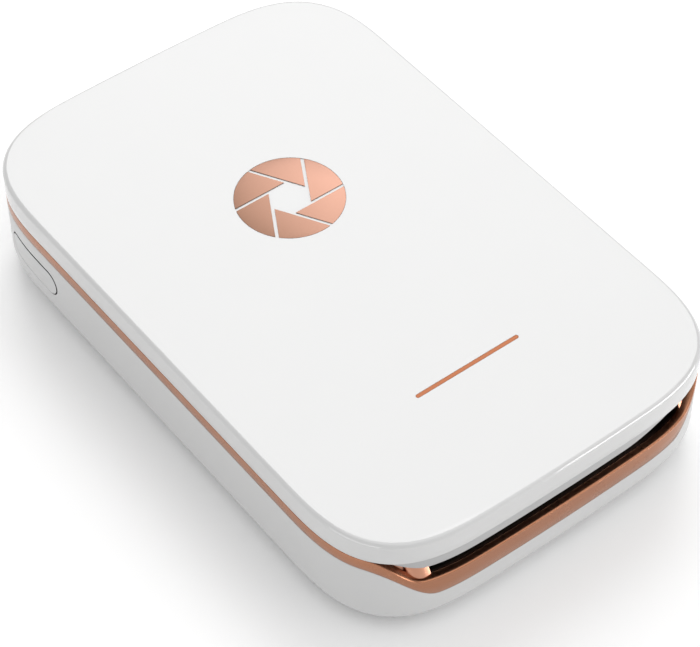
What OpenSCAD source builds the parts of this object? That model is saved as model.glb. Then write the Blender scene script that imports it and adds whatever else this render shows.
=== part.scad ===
// Pocket photo printer: thin rounded case, copper trim band, slide-off top cover over the paper bay,
// thermal print head and platen roller behind a front output slot.
// Frame: X across the width, Y along the length, Z up. The origin is on the resting plane under the
// middle of the case. The output slot faces -Y, and the power button is on the -X side.

/* [Case] */
// Width of the case
body_w = 75; // [74:0.5:80]
// Length of the case
body_l = 116; // [115:0.5:122]
// Height of the case with its feet
body_h = 23; // [22.8:0.1:25]
// Radius of the case corners, seen from above
corner_r = 23.2; // [21:0.1:25]
// Squareness of the corners: 2 is a circle, more is squarer
corner_power = 3.1; // [2.6:0.1:3.4]
// How far the ends fall back towards the corners
end_bow = 1.1; // [0:0.1:1.6]
// Wall of the case mouldings
wall = 1.5; // [1.2:0.1:1.7]
// Rounding under the case
base_round = 5.9; // [4.5:0.1:6.2]

/* [Top cover] */
// Height of the cover, from its rim to the top face
cover_h = 4.6; // [4.5:0.1:5.2]
// Thickness of the cover's top
cover_top_t = 1.5; // [1.3:0.1:1.7]
// Rounding of the cover's top edge
cover_edge_r = 0.75; // [0.4:0.05:1.1]
// How far the inner skirt hangs below the rim over the slot
skirt_drop = 2.5; // [1.5:0.1:2.6]
// Setback of the inner skirt from the cover's face
skirt_setback = 0.35; // [0.2:0.05:0.6]
// Radius of the round badge
badge_r = 9.55; // [6:0.05:12]
// Distance of the badge's centre behind the middle of the case
badge_y = 14.2; // [5:0.1:20]
// Length of the inlaid stripe near the front
stripe_l = 21; // [10:0.5:30]
// Width of the inlaid stripe
stripe_w = 0.7; // [0.4:0.1:2]
// Distance of the stripe in front of the middle of the case
stripe_y = 33.2; // [25:0.1:40]
// Depth of the badge and the stripe in the cover
inlay_t = 0.15; // [0.1:0.05:0.4]

/* [Trim] */
// Height of the trim band along the sides
trim_h = 2.35; // [1.5:0.05:2.6]
// Thickness of the trim band
trim_t = 1.4; // [1:0.1:1.5]
// Depth of the dip from the band's top edge to the lip's top edge
lip_dip = 5.6; // [5.3:0.1:5.9]
// Height of the lip under the output slot
lip_h = 4.05; // [3:0.05:4.3]
// Gap between the trim band and the cover's rim
rim_gap = 0.05; // [0.05:0.05:0.3]
// Width of the output slot
slot_w = 50.4; // [50.2:0.1:51]
// How much further the slot runs at its right end
slot_extra = 2; // [0:0.1:2.2]

/* [Base] */
// Radius of the feet
foot_r = 4; // [2.5:0.1:5]
// How far the feet stand proud of the base
foot_proud = 0.4; // [0.2:0.1:0.8]
// Depth of the recess that holds each foot
foot_recess = 0.3; // [0.2:0.1:0.6]
// Half the distance between the feet across the case
foot_x = 22; // [16:0.5:23]
// Half the distance between the feet along the case
foot_y = 46; // [38:0.5:47]

/* [Power button] */
// Length of the pill-shaped button
button_l = 15; // [10:0.5:17]
// Height of the button
button_h = 4.8; // [3:0.1:5.2]
// Distance of the button's middle in front of the case's rear end
button_y = 19.6; // [18:0.1:24]
// Travel of the button
button_travel = 0.4; // [0.2:0.05:0.5]
// Gap round the button
button_gap = 0.2; // [0.1:0.05:0.35]

/* [Paper path] */
// Width of the paper bay
bay_w = 52.4; // [51.4:0.1:52.8]
// Length of the paper bay
bay_l = 78.6; // [77:0.1:80]
// Thickness of the tray floor
tray_t = 1.3; // [1:0.1:1.5]
// Height from the tray floor to the trim band's top
bay_depth = 2.65; // [2.5:0.05:2.8]
// Radius of the platen roller
platen_r = 4; // [3.4:0.1:4.1]
// Radius of the platen shaft
platen_shaft_r = 1.5; // [1:0.1:1.6]
// Radius of the pick roller tyres
tyre_r = 3; // [2.6:0.1:3.1]
// Width of each pick tyre
tyre_w = 6; // [3:0.5:8]
// Radius of the pick shaft
pick_shaft_r = 1; // [0.8:0.1:1.2]
// Distance from the case's front to the platen axis
platen_setback = 16; // [15.8:0.1:16.6]
// Distance from the platen axis to the pick axis
pick_pitch = 19.5; // [19.3:0.1:19.8]
// Width of the pressure plate
plate_w = 33; // [24:0.5:34]
// Length of the pressure plate
plate_l = 54; // [40:0.5:60]
// Lift of the pressure plate
plate_travel = 2.5; // [1:0.1:2.6]

/* [Gears] */
// Gear module
gear_m = 0.4; // [0.38:0.01:0.41]
// Face width of the gears
gear_w = 1.4; // [1:0.1:1.5]
// Gap between gear layers
gear_gap = 0.4; // [0.3:0.05:0.5]
// Tooth thinning for backlash
backlash = 0.06; // [0.05:0.01:0.1]

/* [Electronics] */
// Width of the battery
battery_w = 38; // [30:0.5:39]
// Length of the battery
battery_l = 48; // [40:0.5:49]
// Thickness of the battery
battery_t = 5.8; // [4:0.1:6.2]
// Width of the circuit board
board_w = 51; // [46:0.5:52]
// Thickness of the circuit board
board_t = 1; // [0.8:0.1:1.2]
// Height of the circuit board's underside over the base floor
board_lift = 7.3; // [7:0.1:7.6]
// Length of the motor can
motor_l = 20; // [15:0.5:22]
// Diameter of the motor can
motor_d = 10; // [8:0.1:10.2]
// Height of the motor can across its flats
motor_flat = 8; // [6.5:0.1:8]

/* [Fits] */
// Radial clearance of shafts in their bearings
run_fit = 0.03; // [0.02:0.01:0.08]
// Clearance between mouldings that slide past each other
slide_gap = 0.4; // [0.3:0.05:0.5]

/* [Hidden] */
$fn = 48;

WHITE = "white";
COPPER = "#c98a6b";
DARK = "#26272a";
GREY = "#8d9092";
STEEL = "silver";

// Outline of the case
half_w = body_w / 2;
half_l = body_l / 2;
corner_steps = 24;
end_points = 3;
outline_count = 4 * (corner_steps + 1) + 2 * end_points;

// Levels, from the bottom
base_z = foot_proud;
floor_z = base_z + wall;
rim_z = body_h - cover_h;
cover_in_z = body_h - cover_top_t;
trim_top = rim_z - rim_gap;
trim_low = trim_top - trim_h;
lip_top = trim_top - lip_dip;
lip_low = lip_top - lip_h;
skirt_low = rim_z - skirt_drop;
tray_z = trim_top - bay_depth;
wall_top = trim_top - 0.25;
hook_low = rim_z - 1.8;
board_z = floor_z + board_lift;
board_top = board_z + board_t;

// The dip of the trim band at the front corners, measured across the case
dip_end = half_w - 3.1;
dip_run = 7.4;
low_dip_end = half_w - 2.7;
low_dip_run = 10.4;
// The skirt tapers out at both ends, sooner and more gently at the right
skirt_left_end = half_w - 3.5;
skirt_left_run = 7.5;
skirt_right_end = half_w - 10;
skirt_right_run = 15;

// Stations along the case
front_y = -half_l;
platen_y = front_y + platen_setback;
platen_z = lip_top + 0.25 - platen_r;
nip_z = platen_z + platen_r;
pick_y = platen_y + pick_pitch;
pick_z = tray_z + 0.2 - tyre_r;
bay_front = platen_y + 14;
bay_back = bay_front + bay_l;
deck_front = pick_y + 10;
throat_y = front_y + 4.6;
guide_low = lip_top - 2.1;

// Stations across the case
frame_in = bay_w / 2 + slide_gap;
frame_t = 1;
frame_out = frame_in + frame_t;
layer_1 = frame_out + gear_gap;
layer_2 = layer_1 + gear_w + gear_gap;
layer_3 = layer_2 + gear_w + gear_gap;
rubber_half = bay_w / 2 - 0.6;
head_half = bay_w / 2 - 0.9;
hook_in = frame_out + 1;
hook_t = 0.8;
hook_toe = 1;
hook_toe_t = 0.5;
rail_gap = 0.15;
seam = 0.02;
rail_in = hook_in + hook_t + 0.3;
rail_face = hook_in + hook_t + hook_toe + slide_gap;

// Gear teeth and centres, in the plane across the axles
pressure_angle = 25;
addendum = 0.8;
dedendum = 1.05;
pinion_n = 10;
big_n = 32;
small_1_n = 12;
small_2_n = 14;
platen_n = 30;
platen_left_n = 22;
pick_n = 16;
gear_mid_z = floor_z + 7.4;
motor_z = floor_z + 0.2 + motor_flat / 2;
platen_c = [platen_y, platen_z];
pick_c = [pick_y, pick_z];
gear_2_c = behind(platen_c, mesh(small_2_n, platen_n), gear_mid_z);
gear_1_c = behind(gear_2_c, mesh(small_1_n, big_n), gear_mid_z);
motor_c = behind(gear_1_c, mesh(pinion_n, big_n), motor_z);
idler_c = below(platen_c, mesh(platen_left_n, big_n), pick_c, mesh(pick_n, big_n));
gear_2_at = meshed(platen_c, platen_n, 0, gear_2_c, small_2_n);
gear_1_at = meshed(gear_2_c, big_n, gear_2_at, gear_1_c, small_1_n);
motor_at = meshed(gear_1_c, big_n, gear_1_at, motor_c, pinion_n);
idler_at = meshed(platen_c, platen_left_n, 0, idler_c, big_n);
pick_at = meshed(idler_c, big_n, idler_at, pick_c, pick_n);
post_r = 0.8;
motor_shaft_r = 0.5;

// Print head
head_gap = 0.05;
head_board_t = 0.8;
head_sink_t = 1.3;
head_front = platen_y - 5;
head_back = platen_y + 4;
head_z = nip_z + head_gap;
sink_z = head_z + head_board_t;
sink_front = head_front - 1.2;
pivot_y = head_front - 0.4;
pivot_z = sink_z + head_sink_t / 2;
pivot_r = 0.6;

// Screws: shank radius, head radius and head height
screw_r = 1;
screw_head_r = 1.9;
screw_head_t = 1.2;
small_screw_r = 0.8;
small_head_r = 1.5;
small_head_t = 0.9;
screw_l = 8;
small_screw_l = 5;
frame_screw_l = 3.4;
post_outer_r = 2.5;
case_boss_h = 4.1;
case_screw_seat = 2.6;
tray_posts = [[half_w - 7.6, deck_front + 7.2], [half_w - 8, half_l - 12]];
frame_boss_h = 2;
frame_foot_t = 1.2;
frame_screw_x = frame_in - 3.1;
frame_screw_y = [platen_y - 5.9, platen_y + 10.5];
board_front = deck_front + 8;
board_back = half_l - 5;
battery_front = board_back - 4.3 - battery_l;
board_posts = [[board_w / 2 - 3, board_front + 3], [board_w / 2 - 3, board_back - 3]];
board_post_r = 2;

// Button, switch and rear ports
button_z = trim_low - 5.6;
flange_gap = 0.1;
flange_t = 0.8;
flange_lip = 0.6;
switch_y = half_l - button_y;
switch_z = board_top + 1.4;
switch_face = half_w - 4.6;
stem_r = 1.1;
plunger_r = 0.8;
plunger_out = button_travel + 0.2;
port_x = 0;
port_w = 7.5;
port_h = 2.6;
reset_x = 10;
status_x = -11;
charge_x = -15.5;
pipe_r = 0.9;
lead_r = 0.55;
pin_z = board_top + 1;
plug_w = 6;
plug_l = 4;
plug_h = 2.2;
radio_w = 12;
radio_l = 10;
radio_h = 1.8;
cpu_l = 10;
memory_w = 7;
memory_l = 10;
driver_w = 6;
driver_l = 5;
coil_l = 5;
charger_w = 6;
charger_l = 4;
chip_h = 1;
coil_h = 2.4;
tiny_w = 1.2;
tiny_l = 0.6;
tiny_h = 0.5;
tiny_pitch = 3;
chip_gap = 5;
chips_front = board_front + 12;
plug_x = [-15, -6, 6];
plug_y = board_front + 0.2;
plug_z = board_top + 1.1;
wall_back = half_l - wall - 0.4;

// Paper pressing
plate_low = tray_z + 0.3;
plate_t = 1;
plate_flange = 1.1;
plate_flange_t = 0.8;
plate_front = pick_y - 1.5;
plate_side = plate_w / 2;
clip_in = plate_side + plate_flange + 0.3;
clip_t = 0.8;
clip_toe = clip_in - plate_side - slide_gap;
clip_l = 6;
spring_r = 2.2;
spring_wire_r = 0.2;
spring_turns = 4;
spring_x = plate_side - 6;
spring_y = [plate_front + 9, plate_front + plate_l - 9];
plate_flange_z = hook_low + hook_toe_t + 0.05;
plate_top_z = plate_flange_z + plate_flange_t;
panel_z = plate_top_z + plate_travel + 0.25;
panel_t = cover_in_z - panel_z;

// ---- Outline functions ----

function ease(t) = let (u = min(1, max(0, t))) u * u * (3 - 2 * u);
function squash(v) = sign(v) * pow(abs(v), 2 / corner_power);
function quarter(k, w, l, r) = [
    for (i = [0:corner_steps])
        let (
            a = 90 * (k + i / corner_steps),
            side = (k == 0 || k == 3) ? 1 : -1,
            end = k < 2 ? 1 : -1)
        [side * (w - r) + r * squash(cos(a)), end * (l - r) + r * squash(sin(a))]];
function end_line(end, w, l, r) = [
    for (i = [1:end_points]) [end * (w - r) * (1 - 2 * i / (end_points + 1)), end * l]];
function bowed(p, w, l) = [p.x, p.y * (1 - end_bow / l * pow(p.x / w, 2))];
// The case outline from above, set in by a distance, counterclockwise
function outline(inset) =
    let (w = half_w - inset, l = half_l - inset, r = corner_r - inset)
    [for (p = concat(
            quarter(0, w, l, r), end_line(1, w, l, r), quarter(1, w, l, r),
            quarter(2, w, l, r), end_line(-1, w, l, r), quarter(3, w, l, r)))
        bowed(p, w, l)];
function at_z(points, z) = [for (p = points) [p.x, p.y, z]];
function dipped(p, high, low, end, run) =
    p.y > 0 ? high : low + (high - low) * ease((abs(p.x) - end + run) / run);
function band_top(p) = dipped(p, trim_top, lip_top, dip_end, dip_run);
function band_low(p) = dipped(p, trim_low, lip_low, low_dip_end, low_dip_run);
function skirt_edge(p) = p.x < 0
    ? dipped(p, rim_z, skirt_low, skirt_left_end, skirt_left_run)
    : dipped(p, rim_z, skirt_low, skirt_right_end, skirt_right_run);
// A ring of points whose heights follow a rule of the outer outline
function ring_top(inset) = let (o = outline(0), q = outline(inset))
    [for (i = [0:outline_count - 1]) [q[i].x, q[i].y, band_top(o[i])]];
function ring_low(inset, drop = 0) = let (o = outline(0), q = outline(inset))
    [for (i = [0:outline_count - 1]) [q[i].x, q[i].y, band_low(o[i]) - drop]];

// ---- Gear functions ----

function mesh(a, b) = gear_m * (a + b) / 2;
// The point behind a centre at a given distance and height
function behind(c, d, z) = [c.x + sqrt(d * d - pow(z - c.y, 2)), z];
// The lower crossing of two circles
function below(a, ra, b, rb) =
    let (
        d = norm(b - a),
        along = (ra * ra - rb * rb + d * d) / (2 * d),
        off = sqrt(ra * ra - along * along),
        u = (b - a) / d)
    [a.x + along * u.x + off * u.y, a.y + along * u.y - off * u.x];
// The angle of a tooth on gear b that meshes with gear a
function meshed(ca, na, at_a, cb, nb) =
    let (line = atan2(cb.y - ca.y, cb.x - ca.x))
    line + 180 - 360 / nb * (0.5 - (line - at_a) * na / 360);
function involute(a) = tan(a) * 180 / PI - a;
function half_tooth(n, rho) =
    let (
        r = gear_m * n / 2,
        base_r = r * cos(pressure_angle),
        a = acos(base_r / max(rho, base_r)))
    90 / n - backlash / 2 / r * 180 / PI + involute(pressure_angle) - involute(a);
function gear_points(n) =
    let (
        r = gear_m * n / 2,
        tip = r + addendum * gear_m,
        root = r - dedendum * gear_m,
        flank = [root, max(root, r * cos(pressure_angle)), r, (r + tip) / 2, tip])
    [for (k = [0:n - 1]) for (s = [-1, 1]) for (i = [0:4])
        let (rho = flank[s < 0 ? i : 4 - i], a = 360 * k / n + s * half_tooth(n, rho))
        rho * [cos(a), sin(a)]];

// ---- Solid helpers ----

function quad(a, b, c, d, swap) = swap ? [[a, b, d], [b, c, d]] : [[a, b, c], [a, c, d]];
function side_faces(rings, n, wrap) = [
    for (j = [0:rings - (wrap ? 1 : 2)]) for (i = [0:n - 1])
        let (
            i2 = (i + 1) % n,
            j2 = (j + 1) % rings)
        each quad(j * n + i, j2 * n + i, j2 * n + i2, j * n + i2, wrap)];
// A closed solid through rings of points, the first and the last one capped
module loft(rings) {
    n = len(rings[0]);
    last = (len(rings) - 1) * n;
    polyhedron(
        [for (r = rings) each r],
        concat(
            side_faces(len(rings), n, false),
            [[for (i = [0:n - 1]) i], [for (i = [n - 1:-1:0]) last + i]]),
        convexity = 6);
}
// A closed tube of four or more rings that runs back into itself
module hoop(rings) {
    n = len(rings[0]);
    polyhedron([for (r = rings) each r], side_faces(len(rings), n, true), convexity = 6);
}
// A flat plate of the outline's shape
module outline_plate(inset, z, h) {
    translate([0, 0, z]) linear_extrude(h) polygon(outline(inset));
}
// A shape drawn across the axles and extruded along X
module across(x, w) {
    translate([x, 0, 0]) rotate([90, 0, 90]) linear_extrude(w) children();
}
module box(low, high) {
    translate(low) cube(high - low);
}
module rod_x(x, c, r, l) {
    translate([x, c.x, c.y]) rotate([0, 90, 0]) cylinder(r = r, h = l);
}
module rod_y(x, y, z, r, l) {
    translate([x, y + l, z]) rotate([90, 0, 0]) cylinder(r = r, h = l);
}
module rod_z(x, y, z, r, h) {
    translate([x, y, z]) cylinder(r = r, h = h);
}
module both_sides() {
    children();
    mirror([1, 0, 0]) children();
}
module gear(x, c, n, at, w) {
    translate([0, c.x, c.y]) rotate([at, 0, 0]) across(x, w) polygon(gear_points(n));
}

// Points of a closed ring round a path point
function unit(v) = v / norm(v);
function path_rings(path, r, sides, ref) = [
    for (i = [0:len(path) - 1])
        let (
            a = path[max(0, i - 1)],
            b = path[min(len(path) - 1, i + 1)],
            t = unit(b - a),
            u = unit(cross(ref, t)),
            v = cross(t, u))
        [for (k = [0:sides - 1]) path[i] + r * (cos(360 * k / sides) * u + sin(360 * k / sides) * v)]];
// A smooth curve through hand-set points
function curve_point(a, b, c, d, t) =
    0.5 * (2 * b + (c - a) * t + (2 * a - 5 * b + 4 * c - d) * t * t + (3 * b - a - 3 * c + d) * t * t * t);
function spline(p, steps) = concat(
    [for (i = [0:len(p) - 2]) for (s = [0:steps - 1])
        curve_point(p[max(0, i - 1)], p[i], p[i + 1], p[min(len(p) - 1, i + 2)], s / steps)],
    [p[len(p) - 1]]);
// The same, with a short straight stretch at each end, so that the ends are square
function smooth_path(p, steps) =
    let (
        n = len(p) - 1,
        first = p[0] + 0.25 * unit(p[1] - p[0]),
        final = p[n] + 0.25 * unit(p[n - 1] - p[n]),
        curve = spline(concat([first], [for (i = [1:n - 1]) p[i]], [final]), steps))
    concat([p[0]], curve, [p[n]]);
function helix(r, h, turns, steps) = [
    for (i = [0:turns * steps])
        let (a = 360 * i / steps)
        [r * cos(a), r * sin(a), h * i / (turns * steps)]];
module wire(path, r, sides = 8, ref = [0.31, 0.17, 0.93]) {
    loft([for (ring = path_rings(path, r, sides, ref)) [for (k = [sides - 1:-1:0]) ring[k]]]);
}
module coil(r, wire_r, h, turns) {
    wire(helix(r, h, turns, 12), wire_r, 6, [0, 0, 1]);
}

// A stadium shape along Y, extruded along X
module pill_x(x, y, z, l, h, t) {
    across(x, t) {
        translate([y - l / 2 + h / 2, z - h / 2]) square([l - h, h]);
        for (s = [-1, 1]) translate([y + s * (l - h) / 2, z]) circle(h / 2);
    }
}

// ---- Cover group ----

module top_cover() {
    steps = 4;
    color(WHITE) difference() {
        union() {
            loft(concat(
                [at_z(outline(wall), cover_in_z), at_z(outline(wall), rim_z)],
                [at_z(outline(0), rim_z)],
                [for (i = [0:steps]) let (a = 90 * i / steps)
                    at_z(outline(cover_edge_r * (1 - cos(a))), body_h - cover_edge_r * (1 - sin(a)))]));
            both_sides() for (y = spring_y)
                rod_z(spring_x, y, cover_in_z - 0.8, spring_r - spring_wire_r - 0.3, 1);
        }
        rod_z(0, badge_y, body_h - inlay_t, badge_r, 1);
        stripe(body_h - inlay_t, 1);
    }
}

module stripe(z, h) {
    translate([0, -stripe_y, z]) linear_extrude(h) {
        square([stripe_l - stripe_w, stripe_w], center = true);
        for (s = [-1, 1]) translate([s * (stripe_l - stripe_w) / 2, 0]) circle(stripe_w / 2);
    }
}

// Skirt along the front, under the cover's rim, with a root that stands inside the ring
module front_skirt(ring_out, root_in) {
    root_out = wall + 0.02;
    root_z = rim_z + 0.5;
    o = outline(0);
    keep = [for (i = [0:outline_count - 1])
        if (o[i].y < 0 && o[i].x > 1 - skirt_left_end && o[i].x < skirt_right_end - 1) i];
    outer = outline(skirt_setback);
    step = outline(root_out);
    inner = outline(root_in);
    loft([for (i = keep) [
        [inner[i].x, inner[i].y, skirt_edge(o[i])], [inner[i].x, inner[i].y, root_z],
        [step[i].x, step[i].y, root_z], [step[i].x, step[i].y, rim_z],
        [outer[i].x, outer[i].y, rim_z], [outer[i].x, outer[i].y, skirt_edge(o[i])]]]);
}

module cover_liner() {
    ring_out = wall + 0.05;
    ring_in = ring_out + 1.2;
    hook_y = [deck_front + 7, deck_front + 30, deck_front + 53];
    hook_l = 8;
    panel_front = deck_front - 14;
    panel_back = deck_front + 62;
    color(GREY) union() {
        difference() {
            outline_plate(ring_out, rim_z, cover_in_z - rim_z);
            outline_plate(ring_in, rim_z - 1, cover_h);
        }
        front_skirt(ring_out, ring_in - 0.4);
        both_sides() {
            intersection() {
                outline_plate(ring_out + 0.2, panel_z, panel_t);
                box([clip_in, panel_front, 0], [half_w, panel_back, body_h]);
            }
            for (y = hook_y) {
                box([hook_in, y, hook_low], [hook_in + hook_t, y + hook_l, panel_z + 0.2]);
                box([hook_in, y, hook_low],
                    [hook_in + hook_t + hook_toe, y + hook_l, hook_low + hook_toe_t]);
            }
            for (y = spring_y) {
                box([clip_in, y - clip_l / 2, hook_low], [clip_in + clip_t, y + clip_l / 2, panel_z + 0.2]);
                box([clip_in - clip_toe, y - clip_l / 2, hook_low],
                    [clip_in + clip_t, y + clip_l / 2, hook_low + hook_toe_t]);
            }
        }
    }
}

// Six blades round a six-sided opening, parted by thin straight gaps
module cover_badge() {
    blade_gap = 0.6;
    eye_r = badge_r * 0.42;
    color(COPPER) difference() {
        rod_z(0, badge_y, body_h - inlay_t, badge_r, inlay_t);
        translate([0, badge_y, body_h - 1]) {
            linear_extrude(2) circle(eye_r, $fn = 6);
            for (k = [0:5]) rotate([0, 0, 60 * k]) translate([eye_r, 0, 0]) rotate([0, 0, 60])
                translate([-blade_gap, 0, 0]) cube([badge_r * 2 + blade_gap, blade_gap, 2]);
        }
    }
}

module cover_stripe() {
    color(COPPER) stripe(body_h - inlay_t, inlay_t);
}

module pressure_plate() {
    rim_t = 0.8;
    color(DARK) union() {
        difference() {
            box([-plate_side, plate_front, plate_low], [plate_side, plate_front + plate_l, plate_top_z]);
            box([-plate_side + rim_t, plate_front + rim_t, plate_low + plate_t],
                [plate_side - rim_t, plate_front + plate_l - rim_t, plate_top_z + 1]);
        }
        both_sides() {
            for (y = spring_y) {
                rod_z(spring_x, y, plate_low + plate_t - 0.2, spring_r - spring_wire_r - 0.3, 1);
                box([plate_side - 0.2, y - clip_l / 2 - 1, plate_flange_z],
                    [plate_side + plate_flange, y + clip_l / 2 + 1, plate_top_z]);
            }
        }
    }
}

module plate_springs() {
    z = plate_low + plate_t + spring_wire_r;
    color(STEEL) both_sides() for (y = spring_y)
        translate([spring_x, y, z])
            coil(spring_r - spring_wire_r, spring_wire_r, cover_in_z - spring_wire_r - z, spring_turns);
}

// ---- Case ----

module trim_bezel() {
    cheek_end = dip_end - 4.2;
    left_top = skirt_low - 0.25;
    right_top = hook_low - 0.25;
    ramp_drop = 1.3;
    ramp_low = lip_low + 0.6;
    ledge = 1.6;
    color(COPPER) union() {
        hoop([ring_low(0), ring_top(0), ring_top(trim_t), ring_low(trim_t)]);
        // End walls of the output slot, below the skirt and the hooks that pass over them
        end_wall(slot_w / 2 + slot_extra, cheek_end, right_top);
        mirror([1, 0, 0]) {
            end_wall(slot_w / 2, cheek_end, left_top);
            end_wall(cheek_end - 1.2, cheek_end, right_top);
        }
        // Ramp behind the lip, and the ledge for the exit guide
        intersection() {
            outline_plate(trim_t - 0.1, ramp_low, lip_top - ramp_low);
            across(-slot_w / 2 - 0.1, slot_w + slot_extra + 0.2)
                polygon([
                    [front_y, ramp_low], [front_y, lip_top], [front_y + trim_t, lip_top],
                    [throat_y, lip_top - ramp_drop], [throat_y, guide_low],
                    [throat_y + ledge, guide_low], [throat_y + ledge, guide_low - 1],
                    [front_y + trim_t + 1, ramp_low]]);
        }
    }
}

// A wall behind the band, stepped to stand clear of the base's rim
module end_wall(x1, x2, top) {
    step_x = max(x1 + 0.1, x2 - 1.6);
    face = trim_t - 0.2;
    cheek(wall + 0.1, x1, x2, guide_low, top);
    cheek(face, x1, step_x, lip_top - 0.15, top);
    cheek(face, step_x - 0.1, x2, lip_top + 1.65, top);
}

module cheek(inset, x1, x2, z1, z2) {
    depth = 7;
    intersection() {
        outline_plate(inset, z1, z2 - z1);
        box([x1, front_y, 0], [x2, front_y + depth, body_h]);
    }
}

module base_case() {
    steps = 5;
    inner_round = base_round - wall;
    color(WHITE) difference() {
        union() {
            loft(concat(
                [for (i = [0:steps]) let (a = 90 * (1 - i / steps))
                    at_z(outline(base_round * (1 - cos(a))), base_z + base_round * (1 - sin(a)))],
                [ring_low(0, seam), ring_low(wall, seam)],
                [for (i = [0:3]) let (a = 90 * i / 3)
                    at_z(outline(base_round - inner_round * cos(a)), floor_z + inner_round * (1 - sin(a)))]));
            both_sides() {
                for (p = tray_posts)
                    rod_z(p.x, p.y, floor_z - 0.2, post_outer_r + 0.8, case_boss_h + 0.2);
                for (y = frame_screw_y)
                    rod_z(frame_screw_x, y, floor_z - 0.2, post_outer_r, frame_boss_h + 0.2);
                for (p = board_posts) rod_z(p.x, p.y, floor_z - 0.2, board_post_r, board_lift + 0.2);
                // Ribs that hold the battery
                box([battery_w / 2, board_front + 10, floor_z - 0.2],
                    [battery_w / 2 + 1, board_front + 20, floor_z + 3]);
                box([battery_w / 2, board_back - 22, floor_z - 0.2],
                    [battery_w / 2 + 1, board_back - 12, floor_z + 3]);
            }
        }
        both_sides() {
            for (p = tray_posts) {
                rod_z(p.x, p.y, base_z - 1, screw_head_r + 0.3, case_screw_seat + 1);
                rod_z(p.x, p.y, base_z - 1, screw_r + 0.1, case_boss_h + 4);
            }
            for (y = frame_screw_y) rod_z(frame_screw_x, y, floor_z - 0.6, small_screw_r, 4);
            for (p = board_posts) rod_z(p.x, p.y, floor_z + 1, small_screw_r, board_lift);
            for (s = [-1, 1]) rod_z(foot_x, s * foot_y, base_z - 1, foot_r, 1 + foot_recess);
        }
        pill_x(-half_w - 1, switch_y, button_z, button_l + 2 * button_gap, button_h + 2 * button_gap, 6);
        // Rear openings
        translate([0, wall_back - 2, 0]) {
            box([port_x - port_w / 2 - 0.5, 0, board_top - 0.4],
                [port_x + port_w / 2 + 0.5, 8, board_top + port_h + 0.4]);
            rod_y(reset_x, 0, pin_z, 0.7, 8);
            rod_y(status_x, 0, pin_z, pipe_r + 0.05, 8);
            rod_y(charge_x, 0, pin_z, pipe_r + 0.05, 8);
        }
    }
}

module rubber_feet() {
    color(DARK) both_sides() for (s = [-1, 1])
        rod_z(foot_x, s * foot_y, 0, foot_r, foot_proud + foot_recess);
}

module case_screws() {
    seat = base_z + case_screw_seat;
    color(STEEL) both_sides() for (p = tray_posts) {
        rod_z(p.x, p.y, seat - screw_head_t, screw_head_r, screw_head_t);
        rod_z(p.x, p.y, seat - 0.1, screw_r, screw_l);
    }
}

module power_button() {
    flange_x = wall + flange_gap;
    color(WHITE) union() {
        intersection() {
            pill_x(-half_w - 1, switch_y, button_z, button_l, button_h, 5);
            difference() {
                outline_plate(0, 0, body_h);
                outline_plate(flange_x + 0.1, -1, body_h + 2);
            }
        }
        intersection() {
            pill_x(-half_w, switch_y, button_z, button_l + 2 * flange_lip, button_h + 2 * flange_lip, 6);
            difference() {
                outline_plate(flange_x, 0, body_h);
                outline_plate(flange_x + flange_t, -1, body_h + 2);
            }
        }
        rod_x(-half_w + flange_x + flange_t / 2, [switch_y, switch_z], stem_r,
            half_w - flange_x - flange_t / 2 - switch_face - plunger_out);
    }
}

module power_switch() {
    color(GREY) difference() {
        box([-switch_face, switch_y - 1.8, board_top],
            [-switch_face + 2.8, switch_y + 1.8, board_top + 2.8]);
        rod_x(-switch_face - 1, [switch_y, switch_z], plunger_r + run_fit, 2.4);
    }
}

module switch_plunger() {
    color(DARK) rod_x(-switch_face - plunger_out, [switch_y, switch_z], plunger_r, plunger_out + 0.8);
}

module usb_port() {
    port_l = 5.2;
    back = board_back + 3.4;
    color(STEEL) difference() {
        box([port_x - port_w / 2, back - port_l, board_top],
            [port_x + port_w / 2, back, board_top + port_h]);
        difference() {
            box([port_x - port_w / 2 + 0.3, back - port_l + 0.8, board_top + 0.3],
                [port_x + port_w / 2 - 0.3, back + 1, board_top + port_h - 0.3]);
            box([port_x - 2.4, back - port_l, board_top + 0.9],
                [port_x + 2.4, back - 0.8, board_top + 1.5]);
        }
    }
}

module reset_switch() {
    color(GREY) difference() {
        box([reset_x - 1.5, board_back - 3.2, board_top], [reset_x + 1.5, board_back - 0.2, board_top + 2]);
        rod_y(reset_x, board_back - 2.2, pin_z, 0.6 + run_fit, 4);
    }
}

module reset_plunger() {
    color(DARK) rod_y(reset_x, board_back - 1.6, pin_z, 0.6, 2.4);
}

module light_pipe(x) {
    face_y = half_l - end_bow * pow(x / half_w, 2) - 0.1;
    color("white", 0.6) union() {
        rod_y(x, board_back - 0.6, pin_z, pipe_r, face_y - board_back + 0.6);
        rod_y(x, board_back + 0.1, pin_z, pipe_r + 0.4, 0.9);
    }
}

module status_light_pipe() {
    light_pipe(status_x);
}

module charge_light_pipe() {
    light_pipe(charge_x);
}

// ---- Paper handling ----

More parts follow.
